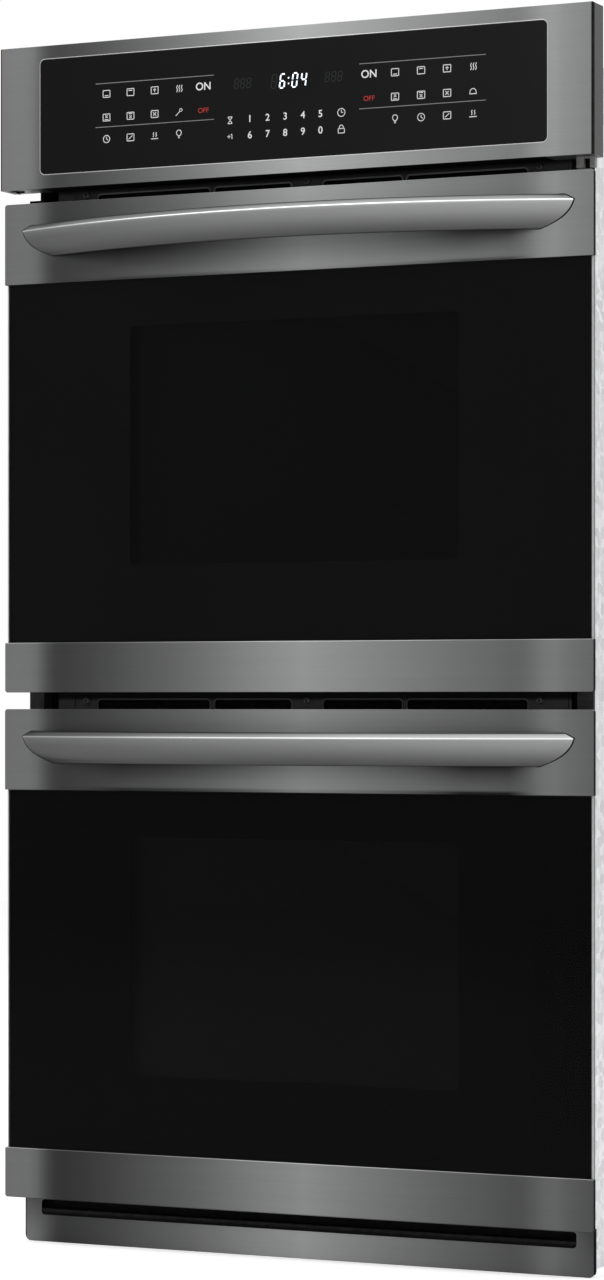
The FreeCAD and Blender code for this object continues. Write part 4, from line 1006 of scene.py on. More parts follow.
# the black print behind each door's glass; the upper door's copy is lighter than the lower's, as painted
# light
FRIT = {"upper": BlackGlass("upper_glass_print", Slot.TINTED, (0.017, 0.017, 0.017), 0.35, 0.02, 1.0),
        "lower": BlackGlass("lower_glass_print", Slot.TINTED, (0.003, 0.003, 0.003), 0.35, 0.02, 1.0)}
LAMP_GLASS = PaneGlass("frosted_lamp_glass", Slot.CLEAR, (0.85, 0.87, 0.85), 0.25, 0.5)
WOOL = Wool("glass_wool_blanket", Slot.WOOL, (0.62, 0.58, 0.4), 0.95)
SEAL = Braid("braided_seal", Slot.SEAL, (0.1, 0.1, 0.098), 0.85)
SHEATH = Sheath("oxidised_sheath", Slot.SHEATH, (0.09, 0.08, 0.072), 0.5)
WIRE = Plating("bright_plating", Slot.WIRE, (0.72, 0.72, 0.72), 0.18)
FAN_STEEL = PressedSteel("pressed_fan_steel", Slot.FAN, (0.4, 0.4, 0.41), 0.34)
HINGE_STEEL = PressedSteel("plated_hinge_steel", Slot.HINGE, (0.42, 0.42, 0.4), 0.36, Grain.INWARD)
SCREW_STEEL = PressedSteel("black_screw_steel", Slot.PAINT, (0.05, 0.05, 0.05), 0.35, Grain.UPRIGHT, 0.6)
MOTOR = PowderCoat("motor_can_paint", Slot.MOTOR, (0.02, 0.02, 0.022), 0.32, (0.12, 0.12, 0.12), 500.0)
NYLON = PowderCoat("moulded_nylon", Slot.GLAND, (0.03, 0.03, 0.03), 0.5, (0.05, 0.05, 0.05), 1400.0)
BOARD = SolderMask("solder_mask", Slot.BOARD, (0.012, 0.09, 0.04), 0.35)
WHITE_INK = PrintedInk("white_print", Slot.TINTED, (0.72, 0.72, 0.72), 0.6)
GREY_INK = PrintedInk("grey_print", Slot.TINTED, (0.2, 0.2, 0.2), 0.6)
RED_INK = PrintedInk("red_print", Slot.TINTED, (0.4, 0.03, 0.025), 0.6)
LIT = LitSegment("lit_segments", Slot.TINTED, (0.78, 0.87, 1.0), 0.5, 1.25)
UNLIT = PrintedInk("unlit_segments", Slot.TINTED, (0.008, 0.010, 0.011), 0.4)


# ---------------------------------------------------------------- mesh building
def rounded(low: tuple[float, float], high: tuple[float, float], radius: float, depth: float,
            steps: int = 6) -> Loop:
    """A rounded rectangle in the X-Z plane.

    Args:
        low: Its lowest x and z.
        high: Its highest x and z.
        radius: The radius of its corners.
        depth: Its y.
        steps: How many edges each corner has.

    Returns:
        Its points in order.
    """
    points = []
    corners = ((high[0], high[1], 0), (low[0], high[1], 90), (low[0], low[1], 180), (high[0], low[1], 270))
    for x, z, start in corners:
        centre_x = x - math.copysign(radius, x - (low[0] + high[0]) / 2)
        centre_z = z - math.copysign(radius, z - (low[1] + high[1]) / 2)
        for step in range(steps + 1):
            turn = math.radians(start + 90 * step / steps)
            along, up = radius * math.cos(turn), radius * math.sin(turn)
            points.append(Vector((centre_x + along, depth, centre_z + up)))
    return points


def ring(centre: Vector, axis: Vector, radius: float, steps: int = 24) -> Loop:
    """A circle of points round an axis.

    Args:
        centre: The circle's middle.
        axis: The axis.
        radius: The radius.
        steps: How many points it has.

    Returns:
        The points in order.
    """
    side = axis.orthogonal().normalized()
    up = axis.normalized().cross(side)
    turns = [2 * math.pi * step / steps for step in range(steps)]
    return [centre + side * radius * math.cos(turn) + up * radius * math.sin(turn) for turn in turns]


class MeshMaker:
    """Collects one piece's faces, and turns them into an object that rides on a body."""

    def __init__(self, name: str) -> None:
        """Start an empty piece."""
        self.name = name
        self.mesh = bmesh.new()

    def loft(self, loops: Sequence[Loop], caps: bool = True, closed: bool = False) -> "MeshMaker":
        """Join loops of equal length, one after the other.

        Args:
            loops: The loops of points.
            caps: Whether the first and the last loop are filled.
            closed: Whether the last loop joins the first.

        Returns:
            The maker itself.
        """
        rows = [[self.mesh.verts.new(point) for point in loop] for loop in loops]
        pairs = list(zip(rows, rows[1:])) + ([(rows[-1], rows[0])] if closed else [])
        for first, second in pairs:
            for index in range(len(first)):
                after = (index + 1) % len(first)
                self.mesh.faces.new((first[index], first[after], second[after], second[index]))
        if caps and not closed:
            self.mesh.faces.new(rows[0])
            self.mesh.faces.new(list(reversed(rows[-1])))
        return self

    def box(self, low: Sequence[float], high: Sequence[float]) -> "MeshMaker":
        """Add a plain block between two corners."""
        loop = [(low[0], low[2]), (high[0], low[2]), (high[0], high[2]), (low[0], high[2])]
        return self.loft([[Vector((x, y, z)) for x, z in loop] for y in (low[1], high[1])])

    def tube(self, path: Sequence[Vector], radius: float, flat: Vector, squash: float = 1.0,
             closed: bool = False, steps: int = 10) -> "MeshMaker":
        """Sweep a round or flattened section along a path that lies in one plane.

        Args:
            path: The points that the section follows.
            radius: The section's radius across the path.
            flat: The direction square to the path's plane.
            squash: The section's radius in that direction, as a share of the other.
            closed: Whether the path's end joins its start.
            steps: How many sides the section has.

        Returns:
            The maker itself.
        """
        loops = []
        count = len(path)
        for index, point in enumerate(path):
            before = path[index - 1] if index or closed else point
            after = path[(index + 1) % count] if index + 1 < count or closed else point
            along = (after - before).normalized()
            side = along.cross(flat).normalized()
            turns = [2 * math.pi * step / steps for step in range(steps)]
            loops.append([point + side * radius * math.cos(turn) + flat * radius * squash * math.sin(turn)
                          for turn in turns])
        return self.loft(loops, caps=not closed, closed=closed)

    def lathe(self, foot: Vector, axis: Vector, profile: Sequence[tuple[float, float]],
              steps: int = 24) -> "MeshMaker":
        """Turn a profile of (radius, height) points round an axis."""
        return self.loft([ring(foot + axis * height, axis, radius, steps) for radius, height in profile])

    def cut(self, point: Vector, normal: Vector) -> "MeshMaker":
        """Cut away all that lies in front of a plane, and close the cut.

        Args:
            point: A point of the plane.
            normal: The way that the plane faces.

        Returns:
            The maker itself.
        """
        geometry = self.mesh.verts[:] + self.mesh.edges[:] + self.mesh.faces[:]
        made = bmesh.ops.bisect_plane(self.mesh, geom=geometry, plane_co=point, plane_no=normal,
                                      clear_outer=True)
        rim = [edge for edge in made["geom_cut"] if isinstance(edge, bmesh.types.BMEdge)]
        bmesh.ops.edgeloop_fill(self.mesh, edges=rim)
        return self

    def finished(self, finish: Finish, body: str, smooth: float = 40.0,
                 replaces: Sequence[str] = ()) -> bpy.types.Object:
        """Close the mesh and hand the piece over to its body.

        Args:
            finish: The finish that covers the piece.
            body: The body that it rides on.
            smooth: Edges sharper than this angle, in degrees, stay sharp.
            replaces: The CAD nodes that the piece stands for.

        Returns:
            The object.
        """
        bmesh.ops.recalc_face_normals(self.mesh, faces=self.mesh.faces[:])
        data = bpy.data.meshes.new(self.name)
        self.mesh.to_mesh(data)
        self.mesh.free()
        return hand_over(data, self.name, finish, body, smooth, replaces=replaces)


def hand_over(data: bpy.types.Mesh, name: str, finish: Finish, body: str, smooth: float = 40.0,
              weighted: bool = False, replaces: Sequence[str] = ()) -> bpy.types.Object:
    """Make an object of a mesh, shade it, and let it ride on its body.

    Args:
        data: The mesh, already in place.
        name: The piece's name.
        finish: The finish that covers it.
        body: The body that it rides on.
        smooth: Edges sharper than this angle, in degrees, stay sharp.
        weighted: Whether wide faces pull the shading of their narrow neighbours.
        replaces: The CAD nodes that the piece stands for.

    Returns:
        The object.
    """
    piece = bpy.data.objects.new(name, data)
    bpy.context.scene.collection.objects.link(piece)
    for polygon in data.polygons:
        polygon.use_smooth = True
    data.set_sharp_from_angle(angle=math.radians(smooth))
    if weighted:
        modifier = piece.modifiers.new("shading", "WEIGHTED_NORMAL")
        modifier.keep_sharp = True
    data.materials.append(finish.material())
    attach(piece, body)
    if replaces:
        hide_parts(*replaces)
    log.info("%s: %d faces, %s, on %s", name, len(data.polygons), finish.name, body)
    return piece


def pieces_of(mesh: bmesh.types.BMesh) -> list[tuple[list[bmesh.types.BMVert], Vector, Vector]]:
    """The separate solids of a mesh: their points, and their lowest and highest corners.

    Args:
        mesh: The mesh.

    Returns:
        The solids, sorted by their lowest corners.
    """
    left, found = set(mesh.verts), []
    while left:
        front, group = [left.pop()], []
        while front:
            vertex = front.pop()
            group.append(vertex)
            for edge in vertex.link_edges:
                other = edge.other_vert(vertex)
                if other in left:
                    left.remove(other)
                    front.append(other)
        low = Vector(min(vertex.co[axis] for vertex in group) for axis in range(3))
        high = Vector(max(vertex.co[axis] for vertex in group) for axis in range(3))
        found.append((group, low, high))
    return sorted(found, key=lambda piece: tuple(round(value, 4) for value in piece[1]))


def node_mesh(node: bpy.types.Object) -> bmesh.types.BMesh:
    """A CAD node's mesh with its split points joined.

    Args:
        node: The node.

    Returns:
        The mesh, to be freed after its use.
    """
    mesh = bmesh.new()
    mesh.from_mesh(node.data)
    bmesh.ops.remove_doubles(mesh, verts=mesh.verts[:], dist=JOIN_REACH)
    return mesh


def islands(node: bpy.types.Object) -> list[tuple[Vector, Vector]]:
    """The lowest and highest corner of each separate solid of a CAD node.

    Args:
        node: The node.

    Returns:
        A pair of corners for each solid.
    """
    mesh = node_mesh(node)
    found = [piece[1:] for piece in pieces_of(mesh)]
    mesh.free()
    return found


def softened(nodes: dict[str, bpy.types.Object], node: str, finish: Finish, width: float, name: str = "",
             segments: int = 2, keep: Callable[[Vector, Vector], bool] | None = None,
             splits: Sequence[tuple[str, float]] = ()) -> bpy.types.Object:
    """A copy of a CAD node whose sharp edges are rounded, standing for that node.

    Args:
        nodes: The CAD nodes by name.
        node: The node to stand for.
        finish: The finish that covers the copy.
        width: How far each rounding reaches.
        name: The copy's name, if it isn't the node's name with "_soft".
        segments: How many faces each rounding has.
        keep: Says of a solid's lowest and highest corners whether it belongs to this piece.
        splits: Planes, each an axis and a place on it, along which faces are parted for their finishes.

    Returns:
        The new piece.
    """
    data = bpy.data.meshes.new(name or node + "_soft")
    mesh = node_mesh(nodes[node])
    if keep:
        spare = [vertex for points, low, high in pieces_of(mesh) if not keep(low, high) for vertex in points]
        bmesh.ops.delete(mesh, geom=spare, context="VERTS")
    bmesh.ops.dissolve_limit(mesh, angle_limit=math.radians(FLAT_ANGLE), verts=mesh.verts[:],
                             edges=mesh.edges[:])
    sharp = [edge for edge in mesh.edges
             if len(edge.link_faces) == 2 and edge.calc_face_angle() > math.radians(SHARP_ANGLE)]
    bmesh.ops.bevel(mesh, geom=sharp, offset=width, segments=segments, profile=0.5, affect="EDGES",
                    clamp_overlap=True)
    for axis, place in splits:
        normal = Vector((axis == "x", axis == "y", axis == "z"))
        geometry = mesh.verts[:] + mesh.edges[:] + mesh.faces[:]
        bmesh.ops.bisect_plane(mesh, geom=geometry, plane_co=normal * place, plane_no=normal)
    mesh.to_mesh(data)
    mesh.free()
    if "custom_normal" in data.attributes:
        data.attributes.remove(data.attributes["custom_normal"])
    return hand_over(data, data.name, finish, nodes[node]["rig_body"], SHADED_ANGLE, True, (node,))


def recoat(piece: bpy.types.Object, finish: Finish, chosen: Callable[[bpy.types.MeshPolygon], bool]) -> None:
    """Give some faces of a piece a second finish.

    Args:
        piece: The piece.
        finish: The second finish.
        chosen: Says of a face whether it gets the second finish.
    """
    piece.data.materials.append(finish.material())
    index = len(piece.data.materials) - 1
    for polygon in piece.data.polygons:
        if chosen(polygon):
            polygon.material_index = index


# ---------------------------------------------------------------- the oven's sub-assemblies
@dataclass
class Legends:
    """The print and the lit digits on the control glass: bars, numerals and small symbols."""

    face: float
    ink: float = 0.05 * MM
    columns: tuple[float, ...] = (-212.8, -183.8, -154.8, -125.8, -96.8)
    mirror_columns: tuple[float, ...] = (95.4, 124.9, 154.2, 183.3, 212.2)
    rows: tuple[float, ...] = (1241.0, 1215.7, 1192.6)
    bars: tuple[float, ...] = (1252.4, 1205.6)
    digit_columns: tuple[float, ...] = (-42.1, -21.4, -0.9, 19.6, 39.8)
    digit_rows: tuple[float, ...] = (1203.3, 1186.1)
    stroke: float = 0.78
    bar_stroke: float = 0.75
    # sizes: half a key's symbol, half a mark beside the numerals, the numerals, ON, and OFF with its weight
    key_size: float = 4.6
    mark_size: float = 4.4
    number_size: float = 10.5
    on_size: float = 11.5
    off_size: tuple[float, float] = (7.4, 0.03)
    bar_ends: tuple[tuple[float, float], ...] = ((-226.2, -84.3), (84.2, 226.4))
    # strokes of each symbol in a square from -1 to 1, and rings as (x, z, radius)
    FRAME = ((-.9, .8), (.9, .8), (.9, -.8), (-.9, -.8), (-.9, .8))
    SYMBOLS = {
        "bake": (FRAME, ((-.5, -.4), (.5, -.4))),
        "broil": (FRAME, ((-.5, .4), (.5, .4))),
        "preheat": (FRAME, ((0, -.4), (0, .4)), ((-.35, .05), (0, .4), (.35, .05))),
        "warm": (((-.6, -.8), (-.35, -.3), (-.6, .3), (-.35, .8)), ((0, -.8), (.25, -.3), (0, .3), (.25, .8)),
                 ((.6, -.8), (.85, -.3), (.6, .3), (.85, .8))),
        "fan_bake": (FRAME, ((-.3, .5), (.3, -.1)), ((-.3, -.1), (.3, .5)), ((-.5, -.5), (.5, -.5))),
        "fan_roast": (FRAME, ((-.3, -.5), (.3, .1)), ((-.3, .1), (.3, -.5)), ((-.5, .5), (.5, .5))),
        "fan": (FRAME, ((-.4, -.4), (.4, .4)), ((-.4, .4), (.4, -.4))),
        "probe": (((-.8, -.8), (.3, .3)), (.5, .5, .32)),
        "delay": ((0, 0, .85), ((0, .5), (0, 0), (.4, -.25))),
        "clean": (FRAME, ((-.5, -.4), (.5, .4))),
        "steam": (((-.9, -.7), (.9, -.7)), ((-.4, -.3), (-.2, .1), (-.4, .4), (-.2, .8)),
                  ((.3, -.3), (.5, .1), (.3, .4), (.5, .8))),
        "dough": (((-.9, -.6), (.9, -.6)),
                  ((-.8, -.6), (-.7, .1), (-.3, .55), (.3, .55), (.7, .1), (.8, -.6))),
        "bulb": (((-.3, -.35), (-.6, .1), (-.6, .55), (-.3, .9), (.3, .9), (.6, .55), (.6, .1), (.3, -.35),
                  (-.3, -.35)), ((-.25, -.65), (.25, -.65)), ((-.15, -.9), (.15, -.9))),
        "timer": (((-.6, .8), (.6, .8), (-.6, -.8), (.6, -.8), (-.6, .8)),),
        "plus": (((-.7, 0), (.1, 0)), ((-.3, -.4), (-.3, .4)), ((.5, -.6), (.5, .6), (.25, .4))),
        "clock": ((0, 0, .95), ((0, .6), (0, 0), (.45, 0))),
        "lock": (((-.8, .1), (.8, .1), (.8, -.95), (-.8, -.95), (-.8, .1)),
                 ((-.5, .1), (-.5, .6), (-.2, .9), (.2, .9), (.5, .6), (.5, .1))),
    }
    LEFT_KEYS = (("bake", "broil", "preheat", "warm"), ("fan_bake", "fan_roast", "fan", "probe"),
                 ("delay", "clean", "steam", "bulb"))
    RIGHT_KEYS = (("bake", "broil", "preheat", "warm"), ("fan_bake", "fan_roast", "fan", "dough"),
                  ("bulb", "delay", "clean", "steam"))
    # the clock's numerals with their places, and the places of the small numerals beside it
    TIME = ((-4.1, "6"), (10.2, "0"), (20.5, "4"))
    SMALL_COLUMNS = (-57.8, -50.5, -43.2, 47.7, 55.0, 62.3)
    # which of the seven bars of a numeral are lit:
    # the top, upper left, upper right, middle, lower left, lower right and foot
    NUMERALS = {"6": "1101111", "0": "1110111", "4": "0111010", "8": "1111111"}

    def build(self) -> list[bpy.types.Object]:
        """Print the glass and light its clock.

        Returns:
            The pieces.
        """
        white, grey = MeshMaker("white_legends"), MeshMaker("legend_bars")
        keys = ((self.columns[:4], self.LEFT_KEYS), (self.mirror_columns[1:], self.RIGHT_KEYS))
        for columns, names in keys:
            for z, line in zip(self.rows, names):
                for x, name in zip(columns, line):
                    self.symbol(white, name, x, z, self.key_size)
        for x, z, name in ((-65.3, self.digit_rows[0], "timer"), (-65.3, self.digit_rows[1], "plus"),
                           (63.8, self.digit_rows[0], "clock"), (63.8, self.digit_rows[1], "lock")):
            self.symbol(white, name, x, z, self.mark_size)
        for row, numbers in zip(self.digit_rows, ("12345", "67890")):
            for x, number in zip(self.digit_columns, numbers):
                self.write(white, number, x, row, self.number_size)
        for left, right in self.bar_ends:
            for z in self.bars:
                self.stroke_box(grey, (left, z), (right, z), self.bar_stroke)
        red = MeshMaker("red_legends")
        for x in (self.columns[4], self.mirror_columns[0]):
            self.write(white, "ON", x, self.rows[0], self.on_size)
            self.write(red, "OFF", x, self.rows[1], *self.off_size)
        pieces = [white.finished(WHITE_INK, "chassis"), grey.finished(GREY_INK, "chassis"),
                  red.finished(RED_INK, "chassis")]
        return pieces + self.clock()

    def clock(self) -> list[bpy.types.Object]:
        """The lit clock and the unlit temperature digits beside it.

        Returns:
            The two pieces.
        """
        lit, dark = MeshMaker("clock_digits"), MeshMaker("unlit_digits")
        for x, number in self.TIME:
            self.numeral(lit, x, 1240.8, number, 5.3, 14.4, 1.4)
        for z in (1237.6, 1243.6):
            self.stroke_box(lit, (2.3, z), (3.7, z), 1.4)
        self.numeral(dark, -13.8, 1240.8, "8", 5.3, 14.4, 1.0)
        for x in self.SMALL_COLUMNS:
            self.numeral(dark, x, 1241.4, "8", 4.4, 9.8, 0.9)
        return [lit.finished(LIT, "chassis"), dark.finished(UNLIT, "chassis")]

    def numeral(self, maker: MeshMaker, x: float, z: float, number: str, wide: float, high: float,
                thick: float) -> None:
        """Build a slanted seven-bar numeral from separate bars.

        Args:
            maker: The piece that it is added to.
            x: Its middle, in millimetres like the rest.
            z: The height of its middle.
            number: The numeral.
            wide: Its width.
            high: Its height.
            thick: The width of its bars.
        """
        half, rise, gap = wide / 2, high / 2, thick * 0.62
        bars = (((-half, rise), (half, rise)), ((-half, 0), (-half, rise)), ((half, 0), (half, rise)),
                ((-half, 0), (half, 0)), ((-half, -rise), (-half, 0)), ((half, -rise), (half, 0)),
                ((-half, -rise), (half, -rise)))
        for lit, (start, end) in zip(self.NUMERALS[number], bars):
            if lit == "1":
                line = Vector((end[0] - start[0], end[1] - start[1])).normalized() * gap
                ends = [(start[0] + line.x, start[1] + line.y), (end[0] - line.x, end[1] - line.y)]
                slanted = [(x + px + pz * 0.13, z + pz) for px, pz in ends]
                self.stroke_box(maker, slanted[0], slanted[1], thick)

    def symbol(self, maker: MeshMaker, name: str, x: float, z: float, size: float) -> None:
        """Draw a key's symbol with strokes and rings.

        Args:
            maker: The piece that it is added to.
            name: The symbol.
            x: Its middle, in millimetres like the rest.
            z: The height of its middle.
            size: Half its width.
        """
        for part in self.SYMBOLS[name]:
            if isinstance(part[0], tuple):
                placed = [(x + px * size, z + pz * size) for px, pz in part]
            else:
                turns = [2 * math.pi * step / 20 for step in range(21)]
                placed = [(x + (part[0] + part[2] * math.cos(turn)) * size,
                           z + (part[1] + part[2] * math.sin(turn)) * size) for turn in turns]
            for start, end in zip(placed, placed[1:]):
                self.stroke_box(maker, start, end, self.stroke)

    def stroke_box(self, maker: MeshMaker, start: tuple[float, float], end: tuple[float, float],
                   wide: float) -> None:
        """Lay down one straight stroke of ink, in millimetres.

        Args:
            maker: The piece that it is added to.
            start: Where it starts, as x and z.
            end: Where it ends.
            wide: Its width.
        """
        along = Vector((end[0] - start[0], 0, end[1] - start[1])).normalized()
        side = Vector((along.z, 0, -along.x)) * wide / 2
        tail, tip = Vector((start[0], 0, start[1])), Vector((end[0], 0, end[1]))
        corners = [tail - side, tip - side, tip + side, tail + side]
        maker.loft([[corner * MM + Vector((0, y, 0)) for corner in corners]
                    for y in (self.face - self.ink, self.face)])

    def write(self, maker: MeshMaker, word: str, x: float, z: float, size: float,
              weight: float = 0.12) -> None:
        """Set a numeral, ON or OFF in the built-in face, centred on a place.

        Args:
            maker: The piece that it is added to.
            word: What is written.
            x: Its middle, in millimetres like the rest.
            z: The height of its middle.
            size: The size of the letters.
            weight: How much bolder they are than the face.
        """
        letters = bpy.data.curves.new("letters", "FONT")
        letters.body, letters.size = word, size * MM
        letters.align_x, letters.align_y = "CENTER", "CENTER"
        letters.extrude, letters.offset = self.ink / 2, weight * MM
        holder = bpy.data.objects.new("letters", letters)
        bpy.context.scene.collection.objects.link(holder)
        data = bpy.data.meshes.new_from_object(holder.evaluated_get(bpy.context.evaluated_depsgraph_get()))
        place = Matrix.Translation((x * MM, self.face - self.ink / 2, z * MM))
        data.transform(place @ Matrix.Rotation(math.pi / 2, 4, "X"))
        maker.mesh.from_mesh(data)
        bpy.data.objects.remove(holder)
        bpy.data.meshes.remove(data)


@dataclass
class ControlPanel:
    """The touch control panel: its steel trim, black glass, print and the parts behind."""

    nodes: dict[str, bpy.types.Object]
    fold_width: float = 0.9 * MM
    seam: tuple[float, float] = (1.4 * MM, 5.8 * MM)
    polish: float = 0.7 * MM
    bezel_corner: float = 5.5 * MM
    # the clip under the panel: how far behind its face it starts, its depth, and its lap on the panel
    clip_start: float = 16.5 * MM
    clip_depth: float = 6.0 * MM
    clip_lap: float = 1.2 * MM
    # the bezel's section: how far it stands past the glass's edge and behind its face, in millimetres
    BEZEL = ((0.1, 0.35), (0.1, -0.02), (0.45, -0.12), (0.85, -0.02), (0.85, 0.35))
    # the clip's legs and bridge: their ends, how far back they start, and how far they hang below the panel
    CLIP = ((0.3192, 0.3268, 0.0, 0.0112), (0.3338, 0.3392, 0.0, 0.0112), (0.3266, 0.3340, 0.0015, 0.0016))

    def build(self) -> None:
        """Dress the panel."""
        low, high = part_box("control_panel_trim")
        seam_x, seam_y, wing = high.x - self.seam[0], low.y + self.seam[1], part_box("side_panel_left")[1].x
        trim = softened(self.nodes, "control_panel_trim", PANEL_STEEL, self.fold_width, segments=3,
                        splits=(("x", seam_x), ("x", -seam_x), ("y", seam_y), ("x", wing), ("x", -wing)))
        recoat(trim, RETURN_STEEL, lambda face: abs(face.normal.x) > 0.9 and face.center.y > seam_y)
        # painted shade: the panel's underside between the side panels goes near black; so do its ends in
        # front of the seam, as the dark end seams
        recoat(trim, SHADE_AND_EDGE_BLACK, lambda face: (abs(face.center.x) > seam_x and face.center.y < seam_y)
               or (face.normal.z < -0.5 and abs(face.center.x) < abs(wing)))
        softened(self.nodes, "control_glass", CONTROL_GLASS, self.polish, segments=3)
        self.bezel()
        Legends(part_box("control_glass")[0].y).build()
        self.brackets()

    def bezel(self) -> None:
        """The thin bright edge of the opening round the glass."""
        low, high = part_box("control_glass")
        loops = []
        for past, depth in self.BEZEL:
            grow = past * MM
            loops.append(rounded((low.x - grow, low.z - grow), (high.x + grow, high.z + grow),
                                 self.bezel_corner + grow, low.y + depth * MM, 8))
        MeshMaker("glass_bezel").loft(loops, closed=True).finished(BEZEL_STEEL, "chassis")

    def brackets(self) -> None:
        """The clip under the right end of the panel, and the flat tab under its left end."""
        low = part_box("control_panel_trim")[0]
        maker = MeshMaker("panel_clips")
        front, top = low.y + self.clip_start, low.z + self.clip_lap
        for left, right, back, drop in self.CLIP:
            maker.box((left, front + back, low.z - drop), (right, front + self.clip_depth, top))
        near, far = front - 0.010, front - 0.002
        tab = [[Vector((x, y, z + rise)) for y, rise in ((near, 0.0), (far, 0.0), (far, MM), (near, MM))]
               for x, z in ((-0.3392, low.z), (-0.3262, low.z - 0.0030))]
        maker.loft(tab).finished(BRACKET_GREY, "chassis")
        # painted shade: near-black blocks behind the clip and the tab darken the notches under the panel's
        # ends
        backs = MeshMaker("panel_clip_shadow_backs")
        backs.box((0.3262, front + self.clip_depth, low.z - 0.0125), (0.3345, front + 0.010, top))
        backs.box((-0.3300, front - 0.007, low.z - 0.0016), (-0.3205, front - 0.003, top))
        backs.finished(SHADE_AND_EDGE_BLACK, "chassis")


@dataclass
class DoorHandle:
    """A bowed bar with a ridge line, a narrow upper facet and a gently rounded face."""

    door: str
    facet_levels: tuple[float, float]
    gains: tuple[float, float]
    reach: float = 66.0 * MM
    span: float = 642.0 * MM
    facet: tuple[float, float] = (4.5 * MM, 6.2 * MM)
    face: tuple[float, float] = (14.0 * MM, 29.1 * MM)
    bulge: float = 2.5 * MM
    thickness: float = 20.0 * MM
    # the bolts' inset from the tips, drop below the ridge, thread in the bar and depth of the heads' seat
    bolt: tuple[float, float, float, float] = (41.0 * MM, 10.0 * MM, 5.0 * MM, 6.9 * MM)
    # in how many steps the bow, each corner of the section and the face's bulge are made
    steps: int = 132
    corner_steps: int = 5
    bulge_steps: int = 14

    def section(self, grow: float = 0.0) -> list[tuple[float, float]]:
        """The bar's section as (behind the ridge, above the ridge) points.

        Args:
            grow: How much larger the section is on every side.

        Returns:
            The points in order, with the corners rounded.
        """
        corners = [((0.0, 0.0), 1.3), (self.facet, 1.6), ((self.thickness, self.facet[1] - 2 * MM), 2.5),
                   ((self.thickness + 2 * MM, -self.face[1] + 4 * MM), 2.5),
                   ((self.face[0], -self.face[1]), 2.0)]
        points: list[tuple[float, float]] = []
        for index, (corner, radius) in enumerate(corners):
            here = Vector(corner)
            back = (Vector(corners[index - 1][0]) - here).normalized()
            on = (Vector(corners[(index + 1) % len(corners)][0]) - here).normalized()
            start, end = here + back * radius * MM, here + on * radius * MM
            for step in range(self.corner_steps + 1):
                share = step / self.corner_steps
                points.append(tuple(start * (1 - share) ** 2 + here * 2 * share * (1 - share)
                                    + end * share ** 2))
        low, top = Vector(points[-1]), Vector(points[0])
        out = Vector((-(top - low).y, (top - low).x)).normalized()
        for step in range(1, self.bulge_steps):
            share = step / self.bulge_steps
            points.append(tuple(low.lerp(top, share) + out * self.bulge * 4 * share * (1 - share)))
        if grow:
            middle = Vector((self.thickness / 2, -self.face[1] / 2))
            points = [tuple(Vector(point) + (Vector(point) - middle).normalized() * grow) for point in points]
        return points

    def sweep(self, name: str, grow: float = 0.0, aside: float = 0.0) -> MeshMaker:
        """Sweep the section round the bow's arc.

        Args:
            name: The name of the piece.
            grow: How much larger the section is on every side.
            aside: How far to the right the sweep stands.

        Returns:
            The sweep, its ends still behind the door's face.
        """
        door_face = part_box(self.door + "_door_handle_strip")[0].y
        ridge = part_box(self.door + "_door_handle")[1].z - self.facet[1]
        radius = ((self.span / 2) ** 2 + self.reach ** 2) / (2 * self.reach)
        centre = door_face - self.reach + radius
        half = math.asin(self.span / 2 / radius) * 1.09
        loops = []
        for step in range(self.steps + 1):
            turn = half * (2 * step / self.steps - 1)
            loops.append([Vector(((radius - back) * math.sin(turn) + aside,
                                  centre - (radius - back) * math.cos(turn), ridge + up))
                          for back, up in self.section(grow)])
        return MeshMaker(name).loft(loops)

    def build(self) -> None:
        """Make the bar, a black ring round its foot as a painted shadow line on the door, and the ends of its
        bolts.
        """
        door_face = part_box(self.door + "_door_handle_strip")[0].y
        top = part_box(self.door + "_door_handle")[1].z
        ridge = top - self.facet[1]
        plane = Vector((0, door_face - 0.3 * MM, 0))
        bar = self.sweep(self.door + "_handle_bar").cut(plane, BACKWARD)
        finish = HandleMetal(self.door + "_handle_metal", Slot.STEEL, (0.985, 1.0, 0.993), 0.3,
                             ridge - self.face[1], top, self.facet_levels, self.gains)
        piece = bar.finished(finish, self.door + "_door", 30.0, replaces=(self.door + "_door_handle",))
        # painted shade: the bar's back faces are near black, so the steel behind it shows a dark reflection
        recoat(piece, SHADE_AND_EDGE_BLACK, lambda face: face.normal.y > 0.3)
        # painted shadow: a black ring round the bar's foot, set a little to the right, as its shadow line on
        # the door
        seat = self.sweep(self.door + "_handle_shadow_ring", 0.5 * MM, 0.45 * MM)
        seat.cut(Vector((0, door_face, 0)), BACKWARD)
        seat.cut(plane, FORWARD)
        seat.finished(BLACK, self.door + "_door")
        self.bolts(door_face, ridge)

    def bolts(self, door_face: float, ridge: float) -> None:
        """The two socket bolts that hold the bar from inside the door.

        Args:
            door_face: How far back the door's face lies.
            ridge: The height of the bar's ridge.
        """
        maker = MeshMaker(self.door + "_handle_bolts")
        inset, drop, thread, seat = self.bolt
        for side in (-1, 1):
            foot = Vector((side * (self.span / 2 - inset), door_face - thread, ridge - drop))
            under = (thread + seat) / MM
            profile = ((2.5, 0.0), (2.5, under), (4.5, under), (4.5, under + 3.0), (4.0, under + 3.5),
                       (2.2, under + 3.5), (2.0, under + 1.5))
            maker.lathe(foot, BACKWARD, [(radius * MM, along * MM) for radius, along in profile], 24)
        maker.finished(SCREW_STEEL, self.door + "_door")


